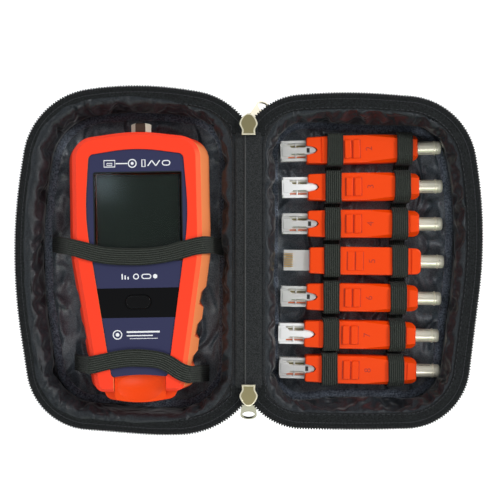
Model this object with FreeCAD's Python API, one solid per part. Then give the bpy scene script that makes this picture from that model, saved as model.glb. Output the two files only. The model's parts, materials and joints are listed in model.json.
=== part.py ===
import FreeCAD, Part
import math
import os

V = FreeCAD.Vector
UP = V(0, 0, 1)

# Cable test kit in a fold-open zip case. Millimetres, +Z up, the open case lying flat on z = 0.
# The fold line runs along Y through x = 0 at the height of the rim.

# ---- case
RIM_Z = 33.0  # height of the fold line, where the two lips meet when the case is shut
SPINE_GAP = 1.1  # from the fold line to the edge of each half
COIL_WIDTH = 2.0
COIL_LOW, COIL_HIGH = 31.3, 32.9
TAPE_LOW, TAPE_HIGH = 31.7, 32.5
TAPE_INSET = 9.0
WALL_INSET = 5.5  # outline to the outside of the moulded wall
WALL = 2.5
LINING = 3.0
BINDING = 5.0
BASE_EDGE_R = 8.0
PANEL_TOP = 4.0
BINDING_TOP = 5.6
SMALLEST_R = 0.5
# corners of the zip's outer edge as (x, y, corner radius), anticlockwise, split into the spine end and the rest
LEFT_SIDES = [(-60, 98.3, 180), (-119, 89.7, 42), (-132.5, 5.5, 300), (-117.8, -91.3, 36), (-50, -96.6, 200)]
LEFT_SPINE_LOW = [(-19, -95.9, 48), (-SPINE_GAP, -78.0, 9)]
LEFT_SPINE_HIGH = [(-SPINE_GAP, 76.8, 9), (-15.2, 90.9, 40)]
LEFT_TRAY_SPINE = [(-SPINE_GAP, -95.3, 38), (-SPINE_GAP, 88.7, 34)]
RIGHT_SIDES = [(60, -93.6, 700), (118, -92.3, 36), (131.6, 17, 255), (120.7, 88, 40), (55, 93.15, 280)]
RIGHT_SPINE_HIGH = [(14.6, 90.3, 36), (SPINE_GAP, 76.8, 9)]
RIGHT_SPINE_LOW = [(SPINE_GAP, -78.5, 9), (15.2, -92.6, 35)]
RIGHT_TRAY_SPINE = [(SPINE_GAP, 89.3, 32), (SPINE_GAP, -92.3, 31)]

# ---- spine fabric
SPINE_HALF = 7.2
SPINE_END = 68.0
SPINE_SEAM = 0.15
SPINE_TOP = 32.8
ZIP_START = 68.2  # the coils and tapes begin here, on both ends of the spine

# ---- zip sliders and pulls; v runs from the narrow end to the nose
SLIDER_TOP_Y, SLIDER_BOTTOM_Y = 68.5, -68.2
SLIDER_PLAN = [(3.75, 0), (3.5, 3.0), (4.9, 5.6), (4.5, 7.4), (2.9, 9.5), (1.0, 11.7)]
SLIDER_PLATE = 1.0
SLIDER_CHANNEL = 1.9  # above and below the fold line's height
SLIDER_POST_V, SLIDER_POST_R = 9.2, 0.9
BAIL_HALF, BAIL_V0, BAIL_V1, BAIL_DROP, BAIL_THICK = 0.9, 2.5, 8.5, 3.2, 1.0
PULL_V = 5.5  # the pull's cross bar, inside the bail
PULL_BAR_R = 0.7
PULL_Z = RIM_Z - SLIDER_CHANNEL - SLIDER_PLATE - 1.1
PULL_LENGTH, PULL_ARM, PULL_THICK = 27.0, 2.9, 1.2
PULL_RING_R, PULL_RING_HOLE, PULL_SLOT = 4.7, 3.7, 7.0
PULL_TOP_SWING, PULL_TOP_TILT = -34.0, 47.0
PULL_BOTTOM_SWING, PULL_BOTTOM_TILT = 0.0, 50.0
SLIDER_CLEAR = 1.2

# ---- elastic
ELASTIC = 1.1
STRAP_WIDTH = 9.3
STRAP_REST = 40.3  # underside where a strap lies on the tester
# strap centre line as (x, y, underside z)
UPPER_STRAP = [(-112.0, 8.7, BINDING_TOP), (-96.4, 4.6, STRAP_REST), (-60.6, 2.5, STRAP_REST), (-24.9, 4.4, STRAP_REST),
               (-14.8, 7.6, BINDING_TOP)]
LOWER_STRAP = [(-99.5, -59.9, 4), (-86.0, -56.6, STRAP_REST), (-62.3, -53.5, STRAP_REST),
               (-43.9, -55.6, STRAP_REST), (-32.9, -61.2, STRAP_REST), (-23.6, -66.4, 4)]
LOOP_WIDTH = 9.0
LOOP_X, LOOP_LEAN = [47.8, 85.6], [1.55, 2.6]
LOOP_GAP = 0.35
LOOP_R = 1.6
LOOP_END = 0.7  # the band's sewn ends beyond the outermost remotes

# ---- tester, in its own frame: x across, y along, turned and placed in the left half
TESTER_X, TESTER_Y, TESTER_TURN = -60.2, -4.0, 1.0
BOOT_FLOOR, BOOT_SKIRT, BOOT_SHOULDER, BOOT_TOP = 4.1, 22.0, 37.6, 40.0
BOOT_FLARE = 4.7  # how much wider each side is at the skirt, its widest height, than at the top
BOOT_FOOT_IN = 2.6
BOOT_SHOULDER_IN = 1.9
# right-hand corners of the boot's top outline as (x, y, radius), from the top middle down to the lobe
BOOT_CORNERS = [(34.3, 70.1, 12), (34.6, 8, 90), (24.9, -56, 60), (23.2, -67.5, 5)]
BOOT_CROWN = (0, 74.6, 100)
LOBE_INNER = 14.3
GRIP_NOTCHES = [(-13.4, -21.8), (-31.6, -39.4), (-49.2, -55.6)]
GRIP_DEPTH = 2.4
HOUSING_CORNERS = [(30.2, 67.5, 8), (30.8, 8, 90), (20.4, -57.4, 3)]
HOUSING_CROWN = (0, 70.6, 100)
HOUSING_FLOOR, HOUSING_SPLIT, HOUSING_TOP = 6.6, 22.0, 38.2
HOUSING_WALL = 2.0
PANEL_TOP_Z = 39.4
PANEL_CORNERS = [(25.6, 61.4, 3), (28.1, 28, 130), (15.2, -59.6, 2)]
PANEL_CROWN = (0, 65.2, 90)
PANEL_FOOT = (0, -57.0, 90)
SCREEN_HALF, SCREEN_Y0, SCREEN_Y1, SCREEN_X, SCREEN_R = 24.25, 3.3, 52.2, 0.7, 1.4
STRIP_Y0, STRIP_Y1 = -27.3, -11.1
BUTTON_Y, BUTTON_LENGTH, BUTTON_WIDTH, BUTTON_PLAY = -18.7, 13.7, 7.2, 0.25
BUTTON_TOP, BUTTON_FOOT = 40.0, 30.6
BOARD_HALF, BOARD_Y0, BOARD_Y1, BOARD_Z, BOARD_THICK = 21.0, -42.0, 56.0, 27.8, 1.6
LCD_LOW, LCD_HIGH = 31.0, 36.0
COAX_X, COAX_Z, COAX_BARREL_R, COAX_MOUTH_R, COAX_TIP, COAX_DEEP = 1.4, 21.5, 4.2, 3.2, 79.8, 1.6
NUT_CORNERS, NUT_Y0, NUT_Y1, NUT_CHAMFER = 5.65, 74.9, 80.1, 1.1
JACK_W, JACK_H, JACK_D = 16.0, 13.4, 16.5
SOCKET_W, SOCKET_H, SOCKET_D = 12.0, 8.6, 13.0
NET_JACK_X, NET_JACK_Z, NET_JACK_FACE = 17.0, 19.0, 68.0
DOCK_JACK_Z, DOCK_JACK_FACE = 20.0, -57.2
BATTERY = (26.5, 48.5, 17.5)
BATTERY_Y0 = -38.0
SCREW_SPOTS = [(28.6, 56), (-28.6, 56), (17, -47), (-17, -47)]
SCREW_R, SCREW_HEAD_R, SCREW_LENGTH = 1.4, 2.6, 16.0

# ---- small remote docked in the tester's lower end
DOCK_FACE, DOCK_TAIL, DOCK_TOP, DOCK_SHELF, DOCK_FLOOR = -58.0, -74.3, 37.2, 33.4, 10.6
DOCK_HALF, DOCK_NECK = 19.8, 13.9
DOCK_GAP = 0.35
SCOOP_HALF, SCOOP_HEIGHT, SCOOP_DEPTH, SCOOP_Y = 12.4, 11.7, 2.2, -65.4
PLUG_W, PLUG_H = 11.7, 8.1

# ---- numbered remotes: (number, x, y, turn in degrees, lies upside down)
REMOTES = [(2, 64.2, 62.7, 1.5, False), (3, 65.1, 41.4, 0.6, False), (4, 65.0, 20.4, 0.0, False),
           (5, 65.9, -0.7, -0.6, True), (6, 64.3, -21.5, -1.0, False), (7, 63.0, -42.6, -1.0, False),
           (8, 63.4, -62.4, -1.4, False)]
BODY_HALF, BODY_LOW, BODY_SPLIT, BODY_TOP = 31.5, 4.1, 10.5, 17.0
BODY_WIDE, PLUG_END_HALF, COAX_END_HALF = 7.9, 7.3, 7.2
BODY_WALL = 1.7
GRIP_RIDGES = [(-10.0, -6.1), (-5.4, -1.2)]
RIDGE_RISE = 0.5
# the sloping facet along each upper long edge, as (x, half-width, z) of three of its points
FACET = [(-1.0, 7.8, 17.0), (32.0, 4.2, 17.0), (32.0, 7.8, 11.8)]
PLUG_OUT, PLUG_IN = 14.7, 5.0
BARREL_R, BARREL_OUT, BARREL_IN, BARREL_BORE_R, BARREL_RING_R = 3.8, 13.7, 6.0, 2.6, 4.15


def save(node, *solids):
    shape = solids[0] if len(solids) == 1 else Part.makeCompound(list(solids))
    shape.exportStep("parts/" + node + ".step")


def box(x0, x1, y0, y1, z0, z1):
    return Part.makeBox(x1 - x0, y1 - y0, z1 - z0, V(x0, y0, z0))


def rounded_wire(corners, z):
    """Closed wire at height z whose corners (x, y, radius) are each rounded by a tangent arc."""
    points = [V(x, y, z) for x, y, _ in corners]
    arcs = []
    for i, here in enumerate(points):
        radius = corners[i][2]
        back = (points[i - 1] - here).normalize()
        ahead = (points[(i + 1) % len(points)] - here).normalize()
        half = back.getAngle(ahead) / 2
        reach = radius / math.tan(half)
        middle = (back + ahead).normalize()
        arcs.append((here + back * reach, here + middle * (radius / math.sin(half) - radius), here + ahead * reach))
    edges = []
    for i, (start, middle, end) in enumerate(arcs):
        edges.append(Part.Arc(start, middle, end).toShape())
        edges.append(Part.makeLine(end, arcs[(i + 1) % len(arcs)][0]))
    return Part.Wire(edges)


def inset(corners, distance):
    """Corners of the same anticlockwise outline, moved inwards."""
    moved = []
    for i, (x, y, radius) in enumerate(corners):
        here = V(x, y, 0)
        before = V(*corners[i - 1][:2], 0)
        after = V(*corners[(i + 1) % len(corners)][:2], 0)
        n1 = UP.cross((here - before).normalize())
        n2 = UP.cross((after - here).normalize())
        spot = here + (n1 + n2) * (distance / (1 + n1.dot(n2)))
        moved.append((spot.x, spot.y, max(radius - distance, SMALLEST_R)))
    return moved


def prism(corners, low, high):
    return Part.Face(rounded_wire(corners, low)).extrude(V(0, 0, high - low))


def bottom_rounded(solid, radius):
    low = solid.BoundBox.ZMin
    edges = [e for e in solid.Edges if e.BoundBox.ZMax < low + 0.01]
    return solid.makeFillet(radius, edges)


# ---- case halves

def outline(side):
    if side == "left":
        return LEFT_SPINE_HIGH + LEFT_SIDES + LEFT_SPINE_LOW
    return RIGHT_SPINE_LOW + RIGHT_SIDES + RIGHT_SPINE_HIGH


def tray(side):
    """Outline of the moulded tray, whose spine corners are plain arcs."""
    if side == "left":
        return LEFT_TRAY_SPINE + LEFT_SIDES
    return RIGHT_TRAY_SPINE + RIGHT_SIDES


def slider_plan(grow):
    half = [(u + grow, v) for u, v in SLIDER_PLAN]
    half[0] = (half[0][0], -grow)
    half[-1] = (half[-1][0], half[-1][1] + grow)
    return half + [(-u, v) for u, v in reversed(half)]


def slider_prism(grow, low, high):
    points = [V(u, v, low) for u, v in slider_plan(grow)]
    return Part.Face(Part.makePolygon(points + points[:1])).extrude(V(0, 0, high - low))


def at_slider(shape, end):
    """Moves a shape from the slider's own frame to the top or bottom end of the spine."""
    placed = shape.copy()
    if end == "bottom":
        placed.rotate(V(0, 0, 0), UP, 180)
    placed.translate(V(0, SLIDER_TOP_Y if end == "top" else SLIDER_BOTTOM_Y, 0))
    return placed


def zip_part(side, outer, inner, low, high):
    """A strip along the zip, left out along the spine and, on the right, where a slider stands in its way."""
    corners = outline(side)
    strip = prism(inset(corners, outer), low, high).cut(prism(inset(corners, inner), low, high))
    spine_side = (-TAPE_INSET - 4, 0) if side == "left" else (0, TAPE_INSET + 4)
    strip = strip.cut(box(*spine_side, -ZIP_START, ZIP_START, low - 1, high + 1))
    if side == "right":
        for end in ("top", "bottom"):
            strip = strip.cut(at_slider(slider_prism(SLIDER_CLEAR, low - 1, high + 1), end))
    return max(strip.Solids, key=lambda s: s.Volume)


def case_half(side):
    corners = tray(side)
    outside = inset(corners, WALL_INSET)
    inside = inset(corners, WALL_INSET + WALL)
    lined = inset(corners, WALL_INSET + WALL + LINING)
    bound = inset(corners, WALL_INSET + WALL + LINING + BINDING)
    hollow = bottom_rounded(prism(inside, WALL, TAPE_LOW), BASE_EDGE_R - WALL)
    save(side + "_shell", bottom_rounded(prism(outside, 0, TAPE_LOW), BASE_EDGE_R).cut(hollow))
    save(side + "_wall_lining", hollow.cut(prism(lined, 0, RIM_Z)))
    save(side + "_base_panel", prism(lined, WALL, PANEL_TOP).common(hollow))
    save(side + "_binding", prism(lined, PANEL_TOP, BINDING_TOP).cut(prism(bound, 0, RIM_Z)))
    save(side + "_zip_tape", zip_part(side, COIL_WIDTH, TAPE_INSET, TAPE_LOW, TAPE_HIGH))
    save(side + "_zip_coil", zip_part(side, 0, COIL_WIDTH, COIL_LOW, COIL_HIGH))
    facing = -1 if side == "left" else 1
    leaf = box(min(facing * SPINE_HALF, facing * SPINE_SEAM), max(facing * SPINE_HALF, facing * SPINE_SEAM),
               -SPINE_END, SPINE_END, TAPE_LOW, SPINE_TOP)
    far = [e for e in leaf.Edges if e.BoundBox.ZLength > 1 and abs(e.CenterOfMass.x) > SPINE_HALF / 2]
    save(side + "_spine_fabric", leaf.makeFillet(3, far))


# ---- zip sliders and pulls

def zip_slider():
    top = slider_prism(0, RIM_Z + SLIDER_CHANNEL, RIM_Z + SLIDER_CHANNEL + SLIDER_PLATE)
    low = RIM_Z - SLIDER_CHANNEL - SLIDER_PLATE
    bottom = slider_prism(0, low, low + SLIDER_PLATE)
    post = Part.makeCylinder(SLIDER_POST_R, 2 * SLIDER_CHANNEL + 1, V(0, SLIDER_POST_V, low + SLIDER_PLATE / 2))
    bail = box(-BAIL_HALF, BAIL_HALF, BAIL_V0, BAIL_V1, low - BAIL_DROP, low)
    window = box(-5, 5, BAIL_V0 + BAIL_THICK, BAIL_V1 - BAIL_THICK, low - BAIL_DROP + BAIL_THICK, low)
    return top.fuse(post).fuse(bottom).fuse(bail.cut(window)).removeSplitter()


def zip_pull(swing, tilt):
    """Flat pull with a ring at its free end, on a cross bar that turns in the slider's bail."""
    bar = Part.makeCylinder(PULL_BAR_R, 2 * PULL_ARM, V(-PULL_ARM, 0, 0), V(1, 0, 0))
    ring_y = PULL_LENGTH - PULL_RING_R
    low = -PULL_THICK / 2
    blade = [V(-PULL_ARM - 0.7, -0.7, low), V(PULL_ARM + 0.7, -0.7, low), V(PULL_RING_R - 0.2, ring_y, low),
             V(-PULL_RING_R + 0.2, ring_y, low)]
    flat = Part.Face(Part.makePolygon(blade + blade[:1])).extrude(V(0, 0, PULL_THICK))
    flat = flat.fuse(Part.makeCylinder(PULL_RING_R, PULL_THICK, V(0, ring_y, low)))
    flat = flat.cut(Part.makeCylinder(PULL_RING_HOLE, 4, V(0, ring_y, -2)))
    flat = flat.cut(box(-PULL_ARM + 0.2, PULL_ARM - 0.2, -3, PULL_SLOT, -2, 2))
    pull = flat.fuse(bar).removeSplitter()
    pull.rotate(V(0, 0, 0), V(1, 0, 0), -tilt)
    pull.rotate(V(0, 0, 0), UP, swing)
    pull.translate(V(0, PULL_V, PULL_Z))
    return pull


# ---- elastic

def strap(stations):
    """Flat band through (x, y, underside z), as thick and as wide as the elastic all along."""
    wires = []
    for i, (x, y, z) in enumerate(stations):
        x0, _, z0 = stations[max(i - 1, 0)]
        x1, _, z1 = stations[min(i + 1, len(stations) - 1)]
        along = V(x1 - x0, 0, z1 - z0).normalize()
        out = V(-along.z, 0, along.x) * ELASTIC
        if z < STRAP_REST:
            out = V(math.copysign(ELASTIC, out.x), 0, 0)
        else:
            out = V(out.x, 0, ELASTIC)
        a, b = V(x, y - STRAP_WIDTH / 2, z), V(x, y + STRAP_WIDTH / 2, z)
        wires.append(Part.makePolygon([a, b, b + out, a + out, a]))
    return Part.makeLoft(wires, True, True)


def loop_band(x, lean):
    """One elastic band along Y, standing up over each remote and sewn down between them."""
    humps = []
    feet = []
    for _, rx, ry, turn, _ in REMOTES:
        y = ry + (x - rx) * math.tan(math.radians(turn))
        half = BODY_WIDE + LOOP_GAP
        top = BODY_TOP + RIDGE_RISE + LOOP_GAP
        outer = box(x - LOOP_WIDTH / 2, x + LOOP_WIDTH / 2, y - half - ELASTIC, y + half + ELASTIC,
                    PANEL_TOP, top + ELASTIC)
        inner = box(x - LOOP_WIDTH, x + LOOP_WIDTH, y - half, y + half, PANEL_TOP - 1, top)
        humps.append(round_along_x(outer, LOOP_R + ELASTIC).cut(round_along_x(inner, LOOP_R)))
        feet.append((y - half - ELASTIC, y + half + ELASTIC))
    flats = []
    for upper, lower in zip(feet, feet[1:]):
        flats.append((lower[1], upper[0]))
    flats.append((feet[0][1], feet[0][1] + LOOP_END))
    flats.append((feet[-1][0] - LOOP_END, feet[-1][0]))
    band = humps[0]
    for hump in humps[1:]:
        band = band.fuse(hump)
    for y0, y1 in flats:
        band = band.fuse(box(x - LOOP_WIDTH / 2, x + LOOP_WIDTH / 2, y0, y1, PANEL_TOP, PANEL_TOP + ELASTIC))
    band = band.removeSplitter()
    band.rotate(V(x, 0, 0), UP, -lean)
    return band


def round_along_x(block, radius):
    high = block.BoundBox.ZMax
    edges = [e for e in block.Edges if e.BoundBox.XLength > 1 and e.BoundBox.ZMin > high - 0.01]
    return block.makeFillet(radius, edges)


# ---- tester

def mirrored(crown, corners, foot=None):
    """Anticlockwise closed outline from its top middle and its right-hand corners."""
    left = [(-x, y, r) for x, y, r in corners]
    bottom = [foot] if foot else []
    return [crown] + left + bottom + corners[::-1]


def flared(outline_corners, by):
    """The same outline with its sides moved out by a distance, its ends kept."""
    return [(x + math.copysign(by, x) if abs(x) > 1 else x, y, r) for x, y, r in outline_corners]


def loft(sections):
    return Part.makeLoft([rounded_wire(c, z) for c, z in sections], True, True)


def in_tester(shape):
    placed = shape.copy()
    placed.rotate(V(0, 0, 0), UP, TESTER_TURN)
    placed.translate(V(TESTER_X, TESTER_Y, 0))
    return placed


def housing_outline(z):
    flare = BOOT_FLARE * (HOUSING_TOP - z) / (HOUSING_TOP - HOUSING_FLOOR)
    return flared(mirrored(HOUSING_CROWN, HOUSING_CORNERS), flare)


def housing_block(low, high, skin=0.0):
    return loft([(inset(housing_outline(low), skin), low), (inset(housing_outline(high), skin), high)])


def grip_notches():
    """Upright cutters for the finger grips along both long sides."""
    cutters = []
    (x_high, y_high, _), (x_low, y_low, _) = BOOT_CORNERS[1], BOOT_CORNERS[2]
    slope = (x_high - x_low) / (y_high - y_low)
    low, rise = BOOT_FLOOR - 1, BOOT_TOP - BOOT_FLOOR + 2
    for y0, y1 in GRIP_NOTCHES:
        x0 = x_low + BOOT_FLARE + (y0 - y_low) * slope
        x1 = x_low + BOOT_FLARE + (y1 - y_low) * slope
        for side in (1, -1):
            points = [V(side * (x0 + 3), y0 + 5, low), V(side * (x0 - GRIP_DEPTH), y0 - 1, low),
                      V(side * (x1 - GRIP_DEPTH), y1 + 1, low), V(side * (x1 + 3), y1 - 5, low)]
            cutters.append(Part.Face(Part.makePolygon(points + points[:1])).extrude(V(0, 0, rise)))
    return cutters


def panel_outline():
    return mirrored(PANEL_CROWN, PANEL_CORNERS, PANEL_FOOT)


def screen(grow, low, high):
    x0, x1 = SCREEN_X - SCREEN_HALF - grow, SCREEN_X + SCREEN_HALF + grow
    y0, y1 = SCREEN_Y0 - grow, SCREEN_Y1 + grow
    r = max(SCREEN_R + grow, SMALLEST_R)
    return prism([(x1, y1, r), (x0, y1, r), (x0, y0, r), (x1, y0, r)], low, high)


def oval(grow, low, high):
    half, r = BUTTON_LENGTH / 2 + grow, BUTTON_WIDTH / 2 + grow - 0.05
    y0, y1 = BUTTON_Y - BUTTON_WIDTH / 2 - grow, BUTTON_Y + BUTTON_WIDTH / 2 + grow
    return prism([(half, y1, r), (-half, y1, r), (-half, y0, r), (half, y0, r)], low, high)


def strip_block(low, high):
    field = box(-40, 40, STRIP_Y0, STRIP_Y1, low - 1, high + 1)
    return prism(panel_outline(), low, high).common(field)


def network_socket(x, z, face, out):
    """RJ45 jack body whose mouth is at y = face and opens along y by the sign of out."""
    y_back = face - out * JACK_D
    body = box(x - JACK_W / 2, x + JACK_W / 2, min(face, y_back), max(face, y_back), z - JACK_H / 2, z + JACK_H / 2)
    y_floor = face - out * SOCKET_D
    mouth = face + out
    socket = box(x - SOCKET_W / 2, x + SOCKET_W / 2, min(mouth, y_floor), max(mouth, y_floor),
                 z - SOCKET_H / 2, z + SOCKET_H / 2)
    return body.cut(socket)


def dock_block(grow, z_grow):
    """Body of the docked remote: a wide lower tier and a narrow upper one between the boot's lobes."""
    lower = prism([(DOCK_HALF + grow, DOCK_FACE + grow, 1.5), (-DOCK_HALF - grow, DOCK_FACE + grow, 1.5),
                   (-DOCK_HALF - grow, -71.6, 5), (0, DOCK_TAIL - 0.7, 60), (DOCK_HALF + grow, -71.6, 5)],
                  DOCK_FLOOR - z_grow, DOCK_SHELF + z_grow)
    upper = prism([(DOCK_NECK + grow, DOCK_FACE + grow, 1.5), (-DOCK_NECK - grow, DOCK_FACE + grow, 1.5),
                   (-DOCK_NECK - grow, -72.0, 3), (0, DOCK_TAIL, 60), (DOCK_NECK + grow, -72.0, 3)],
                  DOCK_SHELF - 1, DOCK_TOP)
    return lower.fuse(upper).removeSplitter()


def dock_pocket():
    """Space in the boot for the docked remote, open downwards along -Y and at the top."""
    g = DOCK_GAP
    lower = box(-DOCK_HALF - g, DOCK_HALF + g, -90, DOCK_FACE + g, DOCK_FLOOR - g, DOCK_SHELF + g)
    upper = box(-LOBE_INNER, LOBE_INNER, -90, DOCK_FACE + g, DOCK_SHELF, BOOT_TOP + 1)
    return lower.fuse(upper)


def tester_boot():
    top = mirrored(BOOT_CROWN, BOOT_CORNERS)
    slack = BOOT_FLARE * (BOOT_TOP - BOOT_SHOULDER) / (BOOT_TOP - BOOT_SKIRT)
    boot = loft([(flared(top, BOOT_FLARE), BOOT_SKIRT), (flared(top, slack), BOOT_SHOULDER),
                 (inset(top, BOOT_SHOULDER_IN), BOOT_TOP)])
    foot = loft([(inset(flared(top, BOOT_FLARE), BOOT_FOOT_IN), BOOT_FLOOR), (flared(top, BOOT_FLARE), BOOT_SKIRT)])
    boot = boot.fuse(foot)
    for cutter in grip_notches():
        boot = boot.cut(cutter)
    boot = boot.cut(housing_block(HOUSING_FLOOR, HOUSING_SPLIT)).cut(housing_block(HOUSING_SPLIT, HOUSING_TOP))
    boot = boot.cut(prism(inset(panel_outline(), -0.15), HOUSING_TOP - 0.1, BOOT_TOP + 1))
    boot = boot.cut(dock_pocket())
    boot = boot.cut(Part.makeCylinder(COAX_BARREL_R + 3.2, 30, V(COAX_X, 60, COAX_Z), V(0, 1, 0)))
    port = box(NET_JACK_X - JACK_W / 2, NET_JACK_X + JACK_W / 2, 60, 90,
               NET_JACK_Z - JACK_H / 2, NET_JACK_Z + JACK_H / 2)
    dock = box(-JACK_W / 2, JACK_W / 2, DOCK_FACE - 1, DOCK_FACE + 6, DOCK_JACK_Z - JACK_H / 2, DOCK_JACK_Z + JACK_H / 2)
    return max(boot.cut(port).cut(dock).Solids, key=lambda s: s.Volume)


def tester_housings():
    low_block = housing_block(HOUSING_FLOOR, HOUSING_SPLIT)
    high_block = housing_block(HOUSING_SPLIT, HOUSING_TOP)
    low_room = housing_block(HOUSING_FLOOR, HOUSING_SPLIT, HOUSING_WALL)
    high_room = housing_block(HOUSING_SPLIT, HOUSING_TOP, HOUSING_WALL)
    rear = low_block.cut(low_room.common(box(-60, 60, -80, 90, HOUSING_FLOOR + HOUSING_WALL, HOUSING_SPLIT)))
    front = high_block.cut(high_room.common(box(-60, 60, -80, 90, HOUSING_SPLIT, HOUSING_TOP - HOUSING_WALL)))
    front = front.cut(screen(-1.5, HOUSING_TOP - 4, HOUSING_TOP + 1))
    front = front.cut(oval(BUTTON_PLAY, HOUSING_TOP - 4, HOUSING_TOP + 1))
    openings = [Part.makeCylinder(COAX_BARREL_R, 30, V(COAX_X, 60, COAX_Z), V(0, 1, 0)),
                box(NET_JACK_X - JACK_W / 2, NET_JACK_X + JACK_W / 2, 60, 90,
                    NET_JACK_Z - JACK_H / 2, NET_JACK_Z + JACK_H / 2),
                box(-JACK_W / 2, JACK_W / 2, -80, -50, DOCK_JACK_Z - JACK_H / 2, DOCK_JACK_Z + JACK_H / 2)]
    for opening in openings:
        rear = rear.cut(opening)
        front = front.cut(opening)
    width, length, _ = BATTERY
    hatch = box(-width / 2 - 2, width / 2 + 2, BATTERY_Y0 - 2, BATTERY_Y0 + length + 2, 0, HOUSING_FLOOR + HOUSING_WALL)
    door = hatch.common(low_block)
    rear = rear.cut(hatch)
    screws = []
    for x, y in SCREW_SPOTS:
        rear = rear.cut(Part.makeCylinder(SCREW_HEAD_R, HOUSING_WALL, V(x, y, HOUSING_FLOOR)))
        shank = Part.makeCylinder(SCREW_R, SCREW_LENGTH, V(x, y, HOUSING_FLOOR))
        screws.append(shank.fuse(Part.makeCylinder(SCREW_HEAD_R, HOUSING_WALL, V(x, y, HOUSING_FLOOR))))
    save("tester_rear_housing", in_tester(rear))
    save("tester_front_housing", in_tester(front))
    save("tester_battery_door", in_tester(door))
    save("tester_housing_screws", *[in_tester(s.removeSplitter()) for s in screws])


def tester_face():
    panel = prism(panel_outline(), HOUSING_TOP, PANEL_TOP_Z)
    strip = strip_block(HOUSING_TOP, PANEL_TOP_Z)
    panel = panel.cut(screen(0, HOUSING_TOP - 1, PANEL_TOP_Z + 1)).cut(strip)
    save("tester_face_panel", *[in_tester(s) for s in panel.Solids])
    save("tester_keypad_strip", in_tester(strip.cut(oval(BUTTON_PLAY, HOUSING_TOP - 1, PANEL_TOP_Z + 1))))
    save("tester_display_window", in_tester(screen(-0.1, HOUSING_TOP, HOUSING_TOP + 0.6)))
    lcd = box(SCREEN_X - 27, SCREEN_X + 27, SCREEN_Y0 - 5, SCREEN_Y1 + 3, LCD_LOW, LCD_HIGH)
    save("tester_lcd_module", in_tester(lcd))
    button = oval(0, PANEL_TOP_Z - 2, BUTTON_TOP).fuse(
        Part.makeCylinder(2.0, PANEL_TOP_Z - 1 - BUTTON_FOOT, V(0, BUTTON_Y, BUTTON_FOOT)))
    save("tester_power_button", in_tester(button.removeSplitter()))


def tester_insides():
    board = box(-BOARD_HALF, BOARD_HALF, BOARD_Y0, BOARD_Y1, BOARD_Z, BOARD_Z + BOARD_THICK)
    save("tester_main_board", in_tester(board))
    width, length, height = BATTERY
    floor = HOUSING_FLOOR + HOUSING_WALL
    save("tester_battery", in_tester(box(-width / 2, width / 2, BATTERY_Y0, BATTERY_Y0 + length, floor, floor + height)))
    save("tester_network_jacks", in_tester(network_socket(NET_JACK_X, NET_JACK_Z, NET_JACK_FACE, 1)),
         in_tester(network_socket(0, DOCK_JACK_Z, DOCK_JACK_FACE, -1)))
    along = V(0, 1, 0)
    barrel = Part.makeCylinder(COAX_BARREL_R, COAX_TIP - 52, V(COAX_X, 52, COAX_Z), along)
    barrel = barrel.cut(Part.makeCylinder(COAX_MOUTH_R, COAX_DEEP, V(COAX_X, COAX_TIP - COAX_DEEP, COAX_Z), along))
    barrel = barrel.cut(Part.makeCylinder(0.6, 8, V(COAX_X, COAX_TIP - 8, COAX_Z), along))
    save("tester_coax_jack", in_tester(barrel))
    points = []
    for k in range(7):
        a = math.radians(60 * k)
        points.append(V(COAX_X + NUT_CORNERS * math.cos(a), NUT_Y0, COAX_Z + NUT_CORNERS * math.sin(a)))
    nut = Part.Face(Part.makePolygon(points)).extrude(V(0, NUT_Y1 - NUT_Y0, 0))
    turned = Part.makeCylinder(NUT_CORNERS, NUT_Y1 - NUT_Y0, V(COAX_X, NUT_Y0, COAX_Z), along)
    far = [e for e in turned.Edges if e.BoundBox.YMin > NUT_Y1 - 0.01]
    nut = nut.common(turned.makeChamfer(NUT_CHAMFER, far))
    save("tester_coax_nut", in_tester(nut.cut(Part.makeCylinder(COAX_BARREL_R, 40, V(COAX_X, 50, COAX_Z), along))))


def network_plug(length):
    """RJ45 plug along -X from x = 0 (cable end) to its tip, its latch on top, centred on z = 0."""
    body = box(-length, 0, -PLUG_W / 2, PLUG_W / 2, -PLUG_H / 2, PLUG_H / 2 - 1.6)
    nose = box(-length, -length + 9, -PLUG_W / 2, PLUG_W / 2, PLUG_H / 2 - 2, PLUG_H / 2)
    points = [V(-length + 1.0, -3, PLUG_H / 2), V(-length + 7.5, -3, PLUG_H / 2), V(-3.5, -3, PLUG_H / 2 + 1.9),
              V(-3.5, -3, PLUG_H / 2 + 0.9), V(-length + 7.5, -3, PLUG_H / 2 - 1.2), V(-length + 1.0, -3, PLUG_H / 2 - 1.2)]
    latch = Part.Face(Part.makePolygon(points + points[:1])).extrude(V(0, 6, 0))
    return body.fuse(nose).fuse(latch).removeSplitter()


def thumb_scoop():
    """Oval dish: an arc turned about an axis above the surface it is cut into."""
    end, deep = SCOOP_HEIGHT, SCOOP_HEIGHT + SCOOP_DEPTH
    arc = Part.Arc(V(-SCOOP_HALF, 0, -end), V(0, 0, -deep), V(SCOOP_HALF, 0, -end)).toShape()
    rim = Part.makePolygon([V(SCOOP_HALF, 0, -end), V(SCOOP_HALF, 0, 0), V(-SCOOP_HALF, 0, 0), V(-SCOOP_HALF, 0, -end)])
    dish = Part.Face(Part.Wire([arc] + rim.Edges)).revolve(V(0, 0, 0), V(1, 0, 0), 360)
    dish.translate(V(0, SCOOP_Y, DOCK_TOP + SCOOP_HEIGHT))
    return Part.makeSolid(dish) if not dish.Solids else dish


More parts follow.
